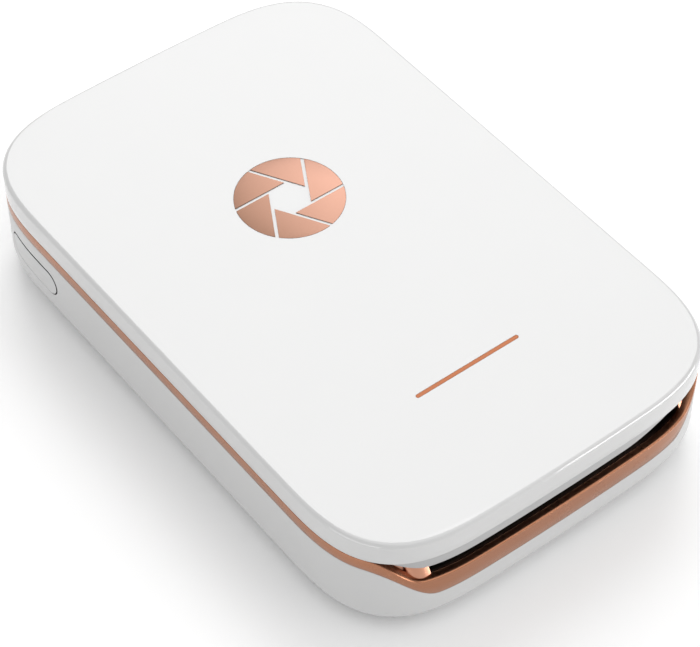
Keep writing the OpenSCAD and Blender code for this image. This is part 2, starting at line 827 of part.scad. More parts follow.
module paper_tray() {
    half = bay_w / 2;
    deck_inset = wall + 0.4;
    bay_wall = 1;
    chute_end = platen_y + 3.5;
    color(DARK) difference() {
        union() {
            // Deck round the bay, and the bay floor
            intersection() {
                outline_plate(deck_inset, tray_z - tray_t, tray_t);
                box([-half_w, deck_front, 0], [half_w, half_l, body_h]);
            }
            box([-half, bay_front, tray_z - tray_t], [half, deck_front + 1, tray_z]);
            // Bay walls
            both_sides() {
                box([half, deck_front, tray_z - 0.2], [half + bay_wall, bay_back + bay_wall, wall_top]);
                // Rails that hold the cover's hooks down
                box([rail_face, deck_front, tray_z - 0.2],
                    [rail_face + 1.2, bay_back - 4, wall_top]);
                box([rail_in, deck_front, hook_low + hook_toe_t + rail_gap],
                    [rail_face + 1.2, bay_back - 4, wall_top]);
                for (p = tray_posts)
                    rod_z(p.x, p.y, floor_z + case_boss_h, post_outer_r,
                        tray_z - tray_t - floor_z - case_boss_h + 0.2);
            }
            box([-half, bay_back, tray_z - 0.2], [half, bay_back + bay_wall, wall_top]);
            // Chute down to the nip
            across(-half, bay_w) polygon([
                [chute_end, nip_z - 0.35], [chute_end, nip_z - 1.2], [platen_y + 6.5, nip_z - 1.2],
                [bay_front + 0.2, tray_z - tray_t], [bay_front + 0.2, tray_z], [bay_front - 0.5, tray_z],
                [platen_y + 6, nip_z - 0.35]]);
        }
        // Windows for the pick tyres, and screw bores
        both_sides() {
            box([8 - tyre_w / 2 - slide_gap, pick_y - tyre_r - slide_gap, 0],
                [8 + tyre_w / 2 + slide_gap, pick_y + tyre_r + slide_gap, body_h]);
            for (p = tray_posts) rod_z(p.x, p.y, floor_z, screw_r, case_boss_h + 6);
        }
    }
}

module frame_plate(x, mirrored) {
    rear = deck_front - 0.4;
    front = sink_front - 1.4;
    low_top = tray_z - 0.1;
    difference() {
        union() {
            across(x, frame_t) polygon([
                [front + 1, floor_z], [rear, floor_z], [rear, wall_top], [bay_front, wall_top],
                [bay_front - 1.5, low_top], [front, low_top], [front, floor_z + 7]]);
            // Feet that take the screws, and the stack stop
            side = mirrored ? x + frame_t - 0.2 : x + 0.2;
            for (y = frame_screw_y)
                box([mirrored ? side : side - 6, y - 1.4, floor_z + frame_boss_h],
                    [mirrored ? side + 6 : side, y + 1.4, floor_z + frame_boss_h + frame_foot_t]);
            box([mirrored ? side : side - 4.6, bay_front - 0.6, tray_z + 0.4],
                [mirrored ? side + 4.6 : side, bay_front, wall_top]);
        }
        for (y = frame_screw_y)
            rod_z(mirrored ? -frame_screw_x : frame_screw_x, y, floor_z, small_screw_r + 0.1, 6);
        rod_x(x - 1, platen_c, platen_shaft_r + 1, 3);
        rod_x(x - 1, pick_c, pick_shaft_r + 0.8, 3);
        rod_x(x - 1, [pivot_y, pivot_z], pivot_r + run_fit, 3);
    }
}

module frame_left() {
    color(GREY) difference() {
        frame_plate(-frame_out, true);
        rod_x(-frame_out - 1, idler_c, post_r, 3);
    }
}

module frame_right() {
    color(GREY) difference() {
        frame_plate(frame_in, false);
        for (c = [gear_1_c, gear_2_c]) rod_x(frame_in - 1, c, post_r, 3);
        rod_x(frame_in - 1, motor_c, 2 + run_fit, 3);
        for (s = [-1, 1]) {
            rod_x(frame_in - 1, motor_c + [s * 3.4, 0], 0.5, 3);
            rod_x(frame_out - 0.4, motor_c + [s * 3.4, 0], 0.9, 1);
        }
    }
}

module frame_screws() {
    z = floor_z + frame_boss_h + frame_foot_t;
    color(STEEL) both_sides() for (y = frame_screw_y) {
        rod_z(frame_screw_x, y, z, small_head_r, small_head_t);
        rod_z(frame_screw_x, y, z - frame_screw_l, small_screw_r, frame_screw_l + 0.1);
    }
}

// Black plate that carries the print from the nip to the ramp
module exit_guide() {
    half = slot_w / 2 - 0.3;
    back = sink_front - 0.4;
    color(DARK) across(-half, 2 * half) polygon([
        [throat_y, guide_low], [back, guide_low], [back, lip_top - 0.5], [throat_y, guide_low + 1]]);
}

module platen_shaft() {
    left = layer_1 + gear_w + 0.2;
    right = layer_3 + gear_w + 0.2;
    color(STEEL) rod_x(-left, platen_c, platen_shaft_r, left + right);
}

module platen_rubber() {
    color(DARK) difference() {
        rod_x(-rubber_half, platen_c, platen_r, 2 * rubber_half);
        rod_x(-rubber_half - 1, platen_c, platen_shaft_r, 2 * rubber_half + 2);
    }
}

module platen_gear_right() {
    color(WHITE) difference() {
        gear(layer_3, platen_c, platen_n, 0, gear_w);
        rod_x(layer_3 - 1, platen_c, platen_shaft_r, gear_w + 2);
    }
}

module platen_gear_left() {
    color(WHITE) difference() {
        gear(-layer_1 - gear_w, platen_c, platen_left_n, 0, gear_w);
        rod_x(-layer_1 - gear_w - 1, platen_c, platen_shaft_r, gear_w + 2);
    }
}

module bush(c, r, ring) {
    difference() {
        union() {
            rod_x(frame_in, c, r + ring, frame_t);
            rod_x(frame_in - 0.3, c, r + ring + 0.6, 0.3);
        }
        rod_x(frame_in - 1, c, r + run_fit, frame_t + 2);
    }
}

module platen_bushes() {
    color(GREY) both_sides() bush(platen_c, platen_shaft_r, 1);
}

module pick_bushes() {
    color(GREY) both_sides() bush(pick_c, pick_shaft_r, 0.8);
}

module pick_shaft() {
    left = layer_1 + gear_w + 0.2;
    right = frame_out + 0.2;
    color(STEEL) rod_x(-left, pick_c, pick_shaft_r, left + right);
}

module pick_tyres() {
    color(DARK) both_sides() difference() {
        rod_x(8 - tyre_w / 2, pick_c, tyre_r, tyre_w);
        rod_x(8 - tyre_w / 2 - 1, pick_c, pick_shaft_r, tyre_w + 2);
    }
}

module pick_gear() {
    color(WHITE) difference() {
        gear(-layer_1 - gear_w, pick_c, pick_n, pick_at, gear_w);
        rod_x(-layer_1 - gear_w - 1, pick_c, pick_shaft_r, gear_w + 2);
    }
}

module pick_idler() {
    color(WHITE) difference() {
        gear(-layer_1 - gear_w, idler_c, big_n, idler_at, gear_w);
        rod_x(-layer_1 - gear_w - 1, idler_c, post_r + run_fit, gear_w + 2);
    }
}

module separation_pad() {
    pad = 0.5;
    color(DARK) box([-3, bay_front + 1, tray_z - tray_t - pad], [3, bay_front + 3.6, tray_z - tray_t]);
}

// ---- Print head ----

module head_board() {
    color("darkgreen") box([-head_half, head_front, head_z], [head_half, head_back, sink_z]);
}

module head_heatsink() {
    groove = 0.4;
    color(STEEL) difference() {
        box([-head_half, sink_front, sink_z], [head_half, head_back, sink_z + head_sink_t]);
        for (k = [0:3]) box([-head_half - 1, pivot_y + 2 + 1.6 * k, sink_z + head_sink_t - groove],
            [head_half + 1, pivot_y + 2.8 + 1.6 * k, sink_z + 4]);
        both_sides() rod_x(head_half - 1.6, [pivot_y, pivot_z], pivot_r, 3);
    }
}

module head_pivot_pins() {
    color(STEEL) both_sides()
        rod_x(head_half - 1.6, [pivot_y, pivot_z], pivot_r, frame_out - 0.1 - head_half + 1.6);
}

// Torsion springs round the pivot pins, with one leg along the heatsink's end
module head_springs() {
    wire_r = 0.15;
    coil_r = pivot_r + 0.1 + wire_r;
    pitch = 0.4;
    turns = 1.5;
    steps = 12;
    lower_leg = 1.6;
    path = concat(
        [[0, 4, coil_r], [0, 2, coil_r]],
        [for (i = [0:turns * steps])
            let (a = 90 + 360 * i / steps)
            [pitch * i / steps, coil_r * cos(a), coil_r * sin(a)]],
        [[pitch * turns, lower_leg, -coil_r]]);
    color(STEEL) both_sides() translate([head_half + 0.3, pivot_y, pivot_z])
        wire(path, wire_r, 6, [1, 0, 0]);
}

// ---- Drive ----

module motor_can() {
    color(STEEL) difference() {
        union() {
            intersection() {
                rod_x(frame_in - motor_l, motor_c, motor_d / 2, motor_l);
                box([0, motor_c.x - motor_d, motor_z - motor_flat / 2],
                    [half_w, motor_c.x + motor_d, motor_z + motor_flat / 2]);
            }
            rod_x(frame_in - 0.1, motor_c, 2, frame_t + 0.1);
            rod_x(frame_in - motor_l - 0.8, motor_c, 1.6, 1);
        }
        rod_x(frame_in - 4, motor_c, motor_shaft_r + run_fit, 6);
        for (s = [-1, 1]) rod_x(frame_in - 2.2, motor_c + [s * 3.4, 0], 0.5, 4);
    }
}

module motor_screws() {
    color(STEEL) for (s = [-1, 1]) {
        rod_x(frame_out - 0.4, motor_c + [s * 3.4, 0], 0.85, 0.4);
        rod_x(frame_in - 2, motor_c + [s * 3.4, 0], 0.5, frame_t + 1.7);
    }
}

module motor_shaft() {
    color(STEEL) rod_x(frame_in - 3.8, motor_c, motor_shaft_r, frame_t + 3.8 + gear_gap + gear_w + 0.2);
}

module motor_pinion() {
    color("gold") difference() {
        gear(layer_1, motor_c, pinion_n, motor_at, gear_w);
        rod_x(layer_1 - 1, motor_c, motor_shaft_r, gear_w + 2);
    }
}

module compound_gear_1() {
    color(WHITE) difference() {
        union() {
            gear(layer_1, gear_1_c, big_n, gear_1_at, gear_w);
            gear(layer_1 + gear_w - 0.1, gear_1_c, small_1_n, gear_1_at, layer_2 - layer_1 + 0.1);
        }
        rod_x(layer_1 - 1, gear_1_c, post_r + run_fit, 3 * gear_w + 2);
    }
}

module compound_gear_2() {
    color(WHITE) difference() {
        union() {
            rod_x(frame_out + 0.2, gear_2_c, 1.6, layer_2 - frame_out);
            gear(layer_2, gear_2_c, big_n, gear_2_at, gear_w);
            gear(layer_2 + gear_w - 0.1, gear_2_c, small_2_n, gear_2_at, layer_3 - layer_2 + 0.1);
        }
        rod_x(frame_out, gear_2_c, post_r + run_fit, 4 * gear_w + 3);
    }
}

// A post pressed into a side frame, with a clip at its end
module gear_post(c, reach) {
    rod_x(frame_in, c, post_r, reach - frame_in + 0.5);
    rod_x(reach + 0.1, c, post_r + 0.6, 0.3);
}

module gear_posts() {
    color(STEEL) {
        gear_post(gear_1_c, layer_2 + gear_w);
        gear_post(gear_2_c, layer_3 + gear_w);
        mirror([1, 0, 0]) gear_post(idler_c, layer_1 + gear_w);
    }
}

// ---- Electronics ----

module main_board() {
    ear = 4;
    color("darkgreen") difference() {
        union() {
            box([-board_w / 2, board_front, board_z], [board_w / 2, board_back, board_top]);
            box([-switch_face + 0.2, switch_y - ear, board_z], [0, switch_y + ear, board_top]);
        }
        both_sides() for (p = board_posts) rod_z(p.x, p.y, 0, small_screw_r + 0.1, body_h);
    }
}

module chip(x, y, w, l, h) {
    box([x, y, board_top], [x + w, y + l, board_top + h]);
}

module board_chips() {
    first = chips_front + tiny_l + 3.4;
    second = first + cpu_l + 8;
    color(DARK) {
        chip(-0.6 * cpu_l, first, cpu_l, cpu_l, 1.1 * chip_h);
        chip(0.4 * cpu_l + chip_gap, first + 2, memory_w, memory_l, chip_h);
        chip(-0.6 * cpu_l - chip_gap - driver_w, first + 8, driver_w, driver_l, 1.6 * chip_h);
        chip(-0.6 * cpu_l - chip_gap - driver_w - 1, second + 2, coil_l, coil_l, coil_h);
        chip(-1.5 * charger_w, second, charger_w, charger_l, 0.9 * chip_h);
        for (k = [0:5]) {
            chip(tiny_pitch * k - 8, chips_front, tiny_w, tiny_l, tiny_h);
            chip(0.8 * tiny_pitch * k + 3, second, tiny_w, tiny_l, tiny_h);
        }
    }
}

module radio_module() {
    color(STEEL) chip(board_w / 2 - 6.5 - radio_w, board_back - 7.5 - radio_l, radio_w, radio_l, radio_h);
}

module board_connectors() {
    color("ivory") for (x = plug_x) chip(x - plug_w / 2, plug_y, plug_w, plug_l, plug_h);
}

module board_screws() {
    color(STEEL) both_sides() for (p = board_posts) {
        rod_z(p.x, p.y, board_top, small_head_r, small_head_t);
        rod_z(p.x, p.y, board_top - small_screw_l, small_screw_r, small_screw_l + 0.1);
    }
}

module battery() {
    r = 1.5;
    color(GREY) translate([0, battery_front + battery_l / 2, floor_z]) linear_extrude(battery_t) union() {
        square([battery_w - 2 * r, battery_l], center = true);
        square([battery_w, battery_l - 2 * r], center = true);
        for (a = [-1, 1]) for (b = [-1, 1])
            translate([a * (battery_w / 2 - r), b * (battery_l / 2 - r)]) circle(r);
    }
}

module battery_lead() {
    x = plug_x[1];
    y = battery_front;
    color("red") for (s = [-1, 1]) wire(smooth_path([
        [x + 3 * s, y, floor_z + 3], [x + 3 * s, y - 1.5, floor_z + 3],
        [x + 2.4 * s, y - 4, floor_z + 3.4], [x + 1.4 * s, board_front - 1.6, floor_z + 6],
        [x + s, board_front - 1.9, plug_z - 1.4], [x + s, board_front - 0.9, plug_z],
        [x + s, plug_y, plug_z]], 4), lead_r);
}

module motor_lead() {
    x = frame_in - motor_l - 0.8;
    color("blue") for (s = [-1, 1]) wire(smooth_path([
        [x, motor_c.x + 0.9 * s, motor_z], [x - 2.1 + 0.7 * s, motor_c.x + 0.9 * s, motor_z],
        [x - 2.4 + s, motor_c.x + 5, motor_z + 1], [plug_x[2] + s, board_front - 2.4, plug_z - 3],
        [plug_x[2] + s, board_front - 1, plug_z], [plug_x[2] + s, plug_y, plug_z]], 4), lead_r);
}

module head_lead() {
    x = -frame_out - 3.6;
    start = -head_half + 2;
    y = sink_front - 2.1;
    color(DARK) wire(smooth_path([
        [start, sink_front - 0.1, pivot_z], [start, sink_front - 1, pivot_z],
        [start - 1.4, y + 0.2, pivot_z], [-frame_in - 0.5, y, pivot_z],
        [x + 1.2, y + 0.8, pivot_z - 1.2], [x, y + 4, pivot_z - 5], [x, platen_y, floor_z + 3],
        [x, platen_y + 14, floor_z + 2.4], [x, pick_y, floor_z + 2.4],
        [x + 0.5, deck_front - 2.5, floor_z + 3], [-frame_out - 1, deck_front + 1.6, floor_z + 3.6],
        [-19, board_front - 3.6, plug_z - 4],
        [plug_x[0] - 0.8, board_front - 1.5, plug_z - 0.8], [plug_x[0], board_front - 0.8, plug_z],
        [plug_x[0], plug_y, plug_z]], 4), lead_r + 0.1);
}

module paper_sensor() {
    color(DARK) box([14, bay_front + 1, tray_z - tray_t - 1.6], [18, bay_front + 4, tray_z - tray_t]);
}

top_cover();
cover_liner();
cover_badge();
cover_stripe();
pressure_plate();
plate_springs();
trim_bezel();
base_case();
rubber_feet();
power_button();
power_switch();
switch_plunger();
usb_port();
reset_switch();
reset_plunger();
status_light_pipe();
charge_light_pipe();
case_screws();
paper_tray();
frame_left();
frame_right();
frame_screws();
exit_guide();
platen_shaft();
platen_rubber();
platen_gear_right();
platen_gear_left();
platen_bushes();
pick_shaft();
pick_tyres();
pick_gear();
pick_bushes();
pick_idler();
head_board();
head_heatsink();
head_pivot_pins();
head_springs();
motor_can();
motor_screws();
motor_shaft();
motor_pinion();
compound_gear_1();
compound_gear_2();
gear_posts();
separation_pad();
main_board();
board_chips();
radio_module();
board_connectors();
board_screws();
battery();
battery_lead();
motor_lead();
head_lead();
paper_sensor();
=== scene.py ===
"""Pocket photo printer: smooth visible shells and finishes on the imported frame.

Every piece is in metres in the part's own frame: X across the width, Y along the length, Z up, with
the origin on the resting plane. The output slot faces -Y and the power button is on the -X side.
The classes hold the pieces' sizes in millimetres; the finishes and the studio are in metres.
"""

import logging
import math
from dataclasses import dataclass, field
from enum import Enum
from functools import cache
from typing import Callable, Iterable, Sequence

import bmesh
import bpy
from mathutils import Matrix, Vector

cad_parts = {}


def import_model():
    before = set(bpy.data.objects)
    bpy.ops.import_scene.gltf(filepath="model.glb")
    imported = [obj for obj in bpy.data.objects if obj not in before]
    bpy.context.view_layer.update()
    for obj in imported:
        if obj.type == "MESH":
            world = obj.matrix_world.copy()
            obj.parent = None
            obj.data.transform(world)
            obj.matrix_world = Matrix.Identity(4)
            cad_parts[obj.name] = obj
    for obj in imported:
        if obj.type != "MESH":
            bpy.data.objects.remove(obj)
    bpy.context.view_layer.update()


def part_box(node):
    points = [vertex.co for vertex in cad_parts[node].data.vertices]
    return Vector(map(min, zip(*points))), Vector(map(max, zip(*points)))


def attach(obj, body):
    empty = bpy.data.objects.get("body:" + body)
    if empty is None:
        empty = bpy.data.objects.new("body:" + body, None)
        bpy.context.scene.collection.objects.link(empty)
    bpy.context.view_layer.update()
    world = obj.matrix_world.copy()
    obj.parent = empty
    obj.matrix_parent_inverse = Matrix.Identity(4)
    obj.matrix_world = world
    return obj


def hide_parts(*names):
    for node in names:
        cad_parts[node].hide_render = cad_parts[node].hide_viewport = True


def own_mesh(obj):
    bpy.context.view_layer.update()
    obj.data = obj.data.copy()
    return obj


Flat = tuple[float, float]
Point = tuple[float, float, float]
Colour = tuple[float, float, float]
Arc = tuple[float, float, float, int]
Ring = list[Point]
Edge = Callable[[Flat], float]
Inputs = dict[str, object]
Object = bpy.types.Object
Node = bpy.types.Node
Socket = bpy.types.NodeSocket
Tree = bpy.types.NodeTree

LOG = logging.getLogger("photo_printer")
MM = 0.001
SAME_PLACE = 1e-6
COATING_GRAIN = 5200.0
COATING_DEPTH = 0.000002


# Modelling tools


def deselect() -> None:
    """Leave edit mode and deselect every object."""
    if bpy.context.object is not None and bpy.context.object.mode != "OBJECT":
        bpy.ops.object.mode_set(mode="OBJECT")
    bpy.ops.object.select_all(action="DESELECT")


def only(obj: Object) -> None:
    """Make one object the only selected and active one.

    Args:
        obj: The object to work on.
    """
    deselect()
    obj.select_set(True)
    bpy.context.view_layer.objects.active = obj


def settle(obj: Object, angle: float = 30.0) -> Object:
    """Apply an object's place, point its faces outwards and smooth it up to an angle.

    Args:
        obj: The finished piece.
        angle: Edges sharper than this many degrees stay crisp.

    Returns:
        The same object.
    """
    only(obj)
    bpy.ops.object.transform_apply(location=True, rotation=True, scale=True)
    bpy.ops.object.mode_set(mode="EDIT")
    bpy.ops.mesh.select_all(action="SELECT")
    bpy.ops.mesh.remove_doubles(threshold=SAME_PLACE)
    bpy.ops.mesh.normals_make_consistent(inside=False)
    bpy.ops.object.mode_set(mode="OBJECT")
    bpy.ops.object.shade_smooth_by_angle(angle=math.radians(angle))
    return obj


def apply_modifier(obj: Object, modifier: bpy.types.Modifier) -> Object:
    """Apply one modifier of an object.

    Args:
        obj: The object that carries the modifier.
        modifier: The modifier.

    Returns:
        The same object.
    """
    only(obj)
    bpy.ops.object.modifier_apply(modifier=modifier.name)
    return obj


def loft(name: str, rings: Sequence[Ring], closed: bool = False) -> Object:
    """Extrude a circle ring by ring through the given rings.

    Args:
        name: Name of the new piece.
        rings: Rings of equal length.
        closed: True runs the last ring back into the first one; False caps both ends.

    Returns:
        The new object.
    """
    deselect()
    bpy.ops.mesh.primitive_circle_add(vertices=len(rings[0]), radius=MM, fill_type="NOTHING")
    obj = bpy.context.object
    obj.name = name
    bpy.ops.object.mode_set(mode="EDIT")
    bpy.ops.mesh.select_mode(type="VERT")
    mesh = bmesh.from_edit_mesh(obj.data)
    slot_of = {}
    for slot, vert in enumerate(mesh.verts):
        slot_of[vert.index] = slot
        vert.co = Vector(rings[0][slot]) * MM
    bmesh.update_edit_mesh(obj.data)
    for ring in [*rings[1:], *([rings[0]] if closed else [])]:
        bpy.ops.mesh.extrude_edges_move()
        mesh = bmesh.from_edit_mesh(obj.data)
        mesh.verts.index_update()
        fresh: dict[int, int] = {}
        for vert in (v for v in mesh.verts if v.select):
            for edge in vert.link_edges:
                other = edge.other_vert(vert)
                if not other.select and other.index in slot_of:
                    fresh[vert.index] = slot_of[other.index]
                    vert.co = Vector(ring[slot_of[other.index]]) * MM
        slot_of = fresh
        bmesh.update_edit_mesh(obj.data)
    if not closed:
        bpy.ops.mesh.edge_face_add()
        bpy.ops.mesh.select_all(action="DESELECT")
        mesh = bmesh.from_edit_mesh(obj.data)
        for edge in mesh.edges:
            if len(edge.link_faces) == 1:
                edge.select_set(True)
        bmesh.update_edit_mesh(obj.data)
        bpy.ops.mesh.edge_face_add()
    bpy.ops.object.mode_set(mode="OBJECT")
    return obj


def soften(obj: Object, size: float, segments: int, corners: int) -> None:
    """Round edges of a fresh primitive.

    Args:
        obj: The primitive, which is the active object.
        size: Width of the rounding; 0 leaves the edges as they are.
        segments: Steps of the rounding.
        corners: Fewest corners of a face whose edges are rounded.
    """
    if size <= 0:
        return
    bpy.ops.object.mode_set(mode="EDIT")
    bpy.ops.mesh.select_mode(type="FACE")
    bpy.ops.mesh.select_all(action="DESELECT")
    mesh = bmesh.from_edit_mesh(obj.data)
    for face in mesh.faces:
        face.select_set(len(face.verts) >= corners)
    bmesh.update_edit_mesh(obj.data)
    bpy.ops.mesh.select_mode(type="EDGE")
    bpy.ops.mesh.bevel(offset=size * MM, segments=segments, affect="EDGES")
    bpy.ops.object.mode_set(mode="OBJECT")


def block(name: str, low: Point, high: Point, bevel: float = 0.0) -> Object:
    """A box with softened edges.

    Args:
        name: Name of the new piece.
        low: Lowest corner.
        high: Highest corner.
        bevel: Rounding of the edges.

    Returns:
        The new object.
    """
    deselect()
    bpy.ops.mesh.primitive_cube_add(size=1.0, location=[(a + b) / 2 * MM for a, b in zip(low, high)])
    obj = bpy.context.object
    obj.name = name
    obj.scale = [(b - a) * MM for a, b in zip(low, high)]
    bpy.ops.object.transform_apply(location=True, rotation=True, scale=True)
    soften(obj, bevel, 2, 4)
    return obj


def disc(name: str, centre: Point, radius: float, depth: float, bevel: float = 0.0,
         vertices: int = 72, turn: Point = (0.0, 0.0, 0.0)) -> Object:
    """A round disc or rod with softened rims.

    Args:
        name: Name of the new piece.
        centre: Middle of the solid.
        radius: Radius.
        depth: Length along its axis.
        bevel: Rounding of the rims.
        vertices: Sides of the circle.
        turn: Rotation in degrees about X, Y and Z.

    Returns:
        The new object.
    """
    deselect()
    bpy.ops.mesh.primitive_cylinder_add(
        vertices=vertices, radius=radius * MM, depth=depth * MM,
        location=[c * MM for c in centre], rotation=[math.radians(a) for a in turn])
    obj = bpy.context.object
    obj.name = name
    soften(obj, bevel, 3, 5)
    bpy.ops.object.transform_apply(location=True, rotation=True, scale=True)
    return obj


def join(name: str, parts: Sequence[Object]) -> Object:
    """Join several pieces into one object.

    Args:
        name: Name of the joined piece.
        parts: The pieces to join.

    Returns:
        The joined object.
    """
    deselect()
    for part in parts:
        part.select_set(True)
    bpy.context.view_layer.objects.active = parts[0]
    if len(parts) > 1:
        bpy.ops.object.join()
    obj = bpy.context.object
    obj.name = name
    return obj


def carve(obj: Object, cutters: Sequence[Object]) -> Object:
    """Cut several solids out of a piece and remove them.

    Args:
        obj: The piece to cut.
        cutters: Solids that don't overlap one another.

    Returns:
        The cut piece.
    """
    tool = join("cutter", cutters)
    modifier = obj.modifiers.new("carve", "BOOLEAN")
    modifier.operation = "DIFFERENCE"
    modifier.solver = "EXACT"
    modifier.object = tool
    apply_modifier(obj, modifier)
    bpy.data.objects.remove(tool, do_unlink=True)
    return obj


def mirrored(obj: Object) -> Object:
    """Add the mirror image of a piece across the middle of the case.

    Args:
        obj: A piece on one side only.

    Returns:
        The piece with both halves.
    """
    modifier = obj.modifiers.new("both sides", "MIRROR")
    modifier.use_axis = (True, False, False)
    modifier.use_mirror_merge = False
    return apply_modifier(obj, modifier)


def ease(t: float) -> float:
    """A smooth step from 0 to 1."""
    u = min(1.0, max(0.0, t))
    return u * u * (3 - 2 * u)


def pill_outline(centre: Flat, reach: float, radius: float, steps: int, between: int = 1) -> list[Flat]:
    """The outline of a bar with round ends.

    Args:
        centre: Middle of the bar.
        reach: Distance of each round end's centre from the middle.
        radius: Radius of the ends.
        steps: Steps of each end.
        between: Steps of each straight side.

    Returns:
        The points, counterclockwise.
    """
    points: list[Flat] = []
    for side in (1, -1):
        for i in range(steps + 1):
            turn = math.radians(180 * i / steps - 90 * side)
            points.append((centre[0] + side * reach + radius * math.cos(turn),
                           centre[1] + radius * math.sin(turn)))
        for i in range(1, between):
            points.append((centre[0] + side * reach * (1 - 2 * i / between), centre[1] + side * radius))
    return points


# The case's outline and its levels


@dataclass
class CaseForm:
    """Sizes of the case, and the curves that all its shells share.

    Each dip says how far from the case's side it ends and how wide its slope is.
    """

    width: float = 75.0
    length: float = 116.0
    height: float = 23.0
    corner_r: float = 23.2
    power: float = 3.1
    bow: float = 1.1
    wall: float = 1.5
    base_z: float = 0.4
    base_round: float = 5.9
    rim_z: float = 18.4
    trim_top: float = 18.35
    trim_low: float = 16.0
    lip_top: float = 12.75
    lip_low: float = 8.7
    skirt_low: float = 15.9
    top_dip: Flat = (3.1, 7.4)
    low_dip: Flat = (2.7, 10.4)
    skirt_dip_left: Flat = (3.5, 7.5)
    skirt_dip_right: Flat = (10.0, 15.0)
    spacing: float = 0.85
    angle_step: float = 0.05
    corner_angles: list[float] = field(default_factory=list)

    def __post_init__(self) -> None:
        """Choose corner angles that space the points evenly."""
        count = round(90 / self.angle_step)
        fine = [self.corner_point(a * self.angle_step, 0.0) for a in range(count + 1)]
        run = [0.0]
        for a, b in zip(fine, fine[1:]):
            run.append(run[-1] + math.dist(a, b))
        steps = max(8, round(run[-1] / self.spacing))
        at = 0
        for number in range(steps + 1):
            goal = run[-1] * number / steps
            while at < len(run) - 1 and run[at] < goal:
                at += 1
            self.corner_angles.append(at * self.angle_step)
        self.corner_angles[0], self.corner_angles[-1] = 0.0, 90.0

    def squarer(self, value: float) -> float:
        """A sine or cosine, pushed out to the squarer corner."""
        return math.copysign(abs(value) ** (2 / self.power), value) if abs(value) > 1e-9 else 0.0

    def corner_point(self, angle: float, inset: float) -> Flat:
        """A point of the corner at an angle, from the corner's centre."""
        radius, turn = self.corner_r - inset, math.radians(angle)
        return radius * self.squarer(math.cos(turn)), radius * self.squarer(math.sin(turn))

    def outline(self, inset: float = 0.0) -> list[Flat]:
        """The case's outline from above.

        Args:
            inset: Distance inside the outer face.

        Returns:
            Points counterclockwise, the same count for every inset.
        """
        half_w, half_l = self.width / 2 - inset, self.length / 2 - inset
        mid_x, mid_y = self.width / 2 - self.corner_r, self.length / 2 - self.corner_r
        quadrant = [self.corner_point(a, inset) for a in self.corner_angles]
        corner = [(mid_x + x, mid_y + y) for x, y in quadrant]
        count_x, count_y = (max(2, round(2 * reach / self.spacing)) for reach in (mid_x, mid_y))
        end = [(mid_x * (1 - 2 * i / count_x), half_l) for i in range(1, count_x)]
        side = [(half_w, mid_y * (1 - 2 * i / count_y)) for i in range(1, count_y)]
        points: list[Flat] = []
        for sign_x, sign_y in ((1, 1), (-1, 1), (-1, -1), (1, -1)):
            stretch = corner + end if sign_x == sign_y else corner[::-1] + side
            points += [(sign_x * x, sign_y * y) for x, y in stretch]
        return [(x, y * (1 - self.bow / half_l * (x / half_w) ** 2)) for x, y in points]

    def dipped(self, point: Flat, high: float, low: float, dip: Flat) -> float:
        """A height that dips between the front corners.

        Args:
            point: A point of the outer outline.
            high: Height along the sides and the rear.
            low: Height in the dip.
            dip: Distance from the side at which the dip ends, and width of its slope.

        Returns:
            The height at the point.
        """
        if point[1] > 0:
            return high
        end, run = self.width / 2 - dip[0], dip[1]
        return low + (high - low) * ease((abs(point[0]) - end + run) / run)

    def band_top(self, point: Flat) -> float:
        """Top edge of the trim band."""
        return self.dipped(point, self.trim_top, self.lip_top, self.top_dip)

    def lip_share(self, point: Flat) -> float:
        """How far the band has dipped at a point, from 0 at the sides to 1 at the lip."""
        return (self.trim_top - self.band_top(point)) / (self.trim_top - self.lip_top)

    def band_low(self, point: Flat) -> float:
        """Lower edge of the trim band."""
        return self.dipped(point, self.trim_low, self.lip_low, self.low_dip)

    def skirt_edge(self, point: Flat) -> float:
        """Lower edge of the skirt behind the cover's front, tapered sooner at the right."""
        dip = self.skirt_dip_left if point[0] < 0 else self.skirt_dip_right
        return self.dipped(point, self.rim_z, self.skirt_low, dip)

    def front_y(self, across: float, inset: float) -> float:
        """Where a line along the case meets the front.

        Args:
            across: Distance to the right of the middle.
            inset: Distance inside the outer face.

        Returns:
            The distance along the case.
        """
        points = sorted(p for p in self.outline(inset) if p[1] < 0)
        for a, b in zip(points, points[1:]):
            if a[0] <= across <= b[0]:
                return a[1] + (b[1] - a[1]) * (across - a[0]) / max(b[0] - a[0], 1e-9)
        return points[0][1]

    @staticmethod
    def arcs(*pieces: Arc) -> list[Flat]:
        """A profile of arcs from a wall up and over an edge.

        Args:
            pieces: For each arc its first and last slope in degrees, its radius and its steps.

        Returns:
            Pairs of the distance inside the wall and the drop below the profile's end.
        """
        points = [(0.0, 0.0)]
        for first, last, radius, steps in pieces:
            a = math.radians(first)
            start = points[-1]
            for k in range(1, steps + 1):
                b = math.radians(first + (last - first) * k / steps)
                points.append((start[0] + radius * (math.cos(a) - math.cos(b)),
                               start[1] + radius * (math.sin(b) - math.sin(a))))
        return [(inset, points[-1][1] - rise) for inset, rise in points]

    def ring(self, inset: float, height: float | Edge) -> Ring:
        """A ring of the outline at a height or along an edge.

        Args:
            inset: Distance inside the outer face.
            height: A level, or a rule of the outer outline's points.

        Returns:
            The ring's points.
        """
        inner = self.outline(inset)
        if callable(height):
            return [(x, y, height(outer)) for (x, y), outer in zip(inner, self.outline())]
        return [(x, y, height) for x, y in inner]

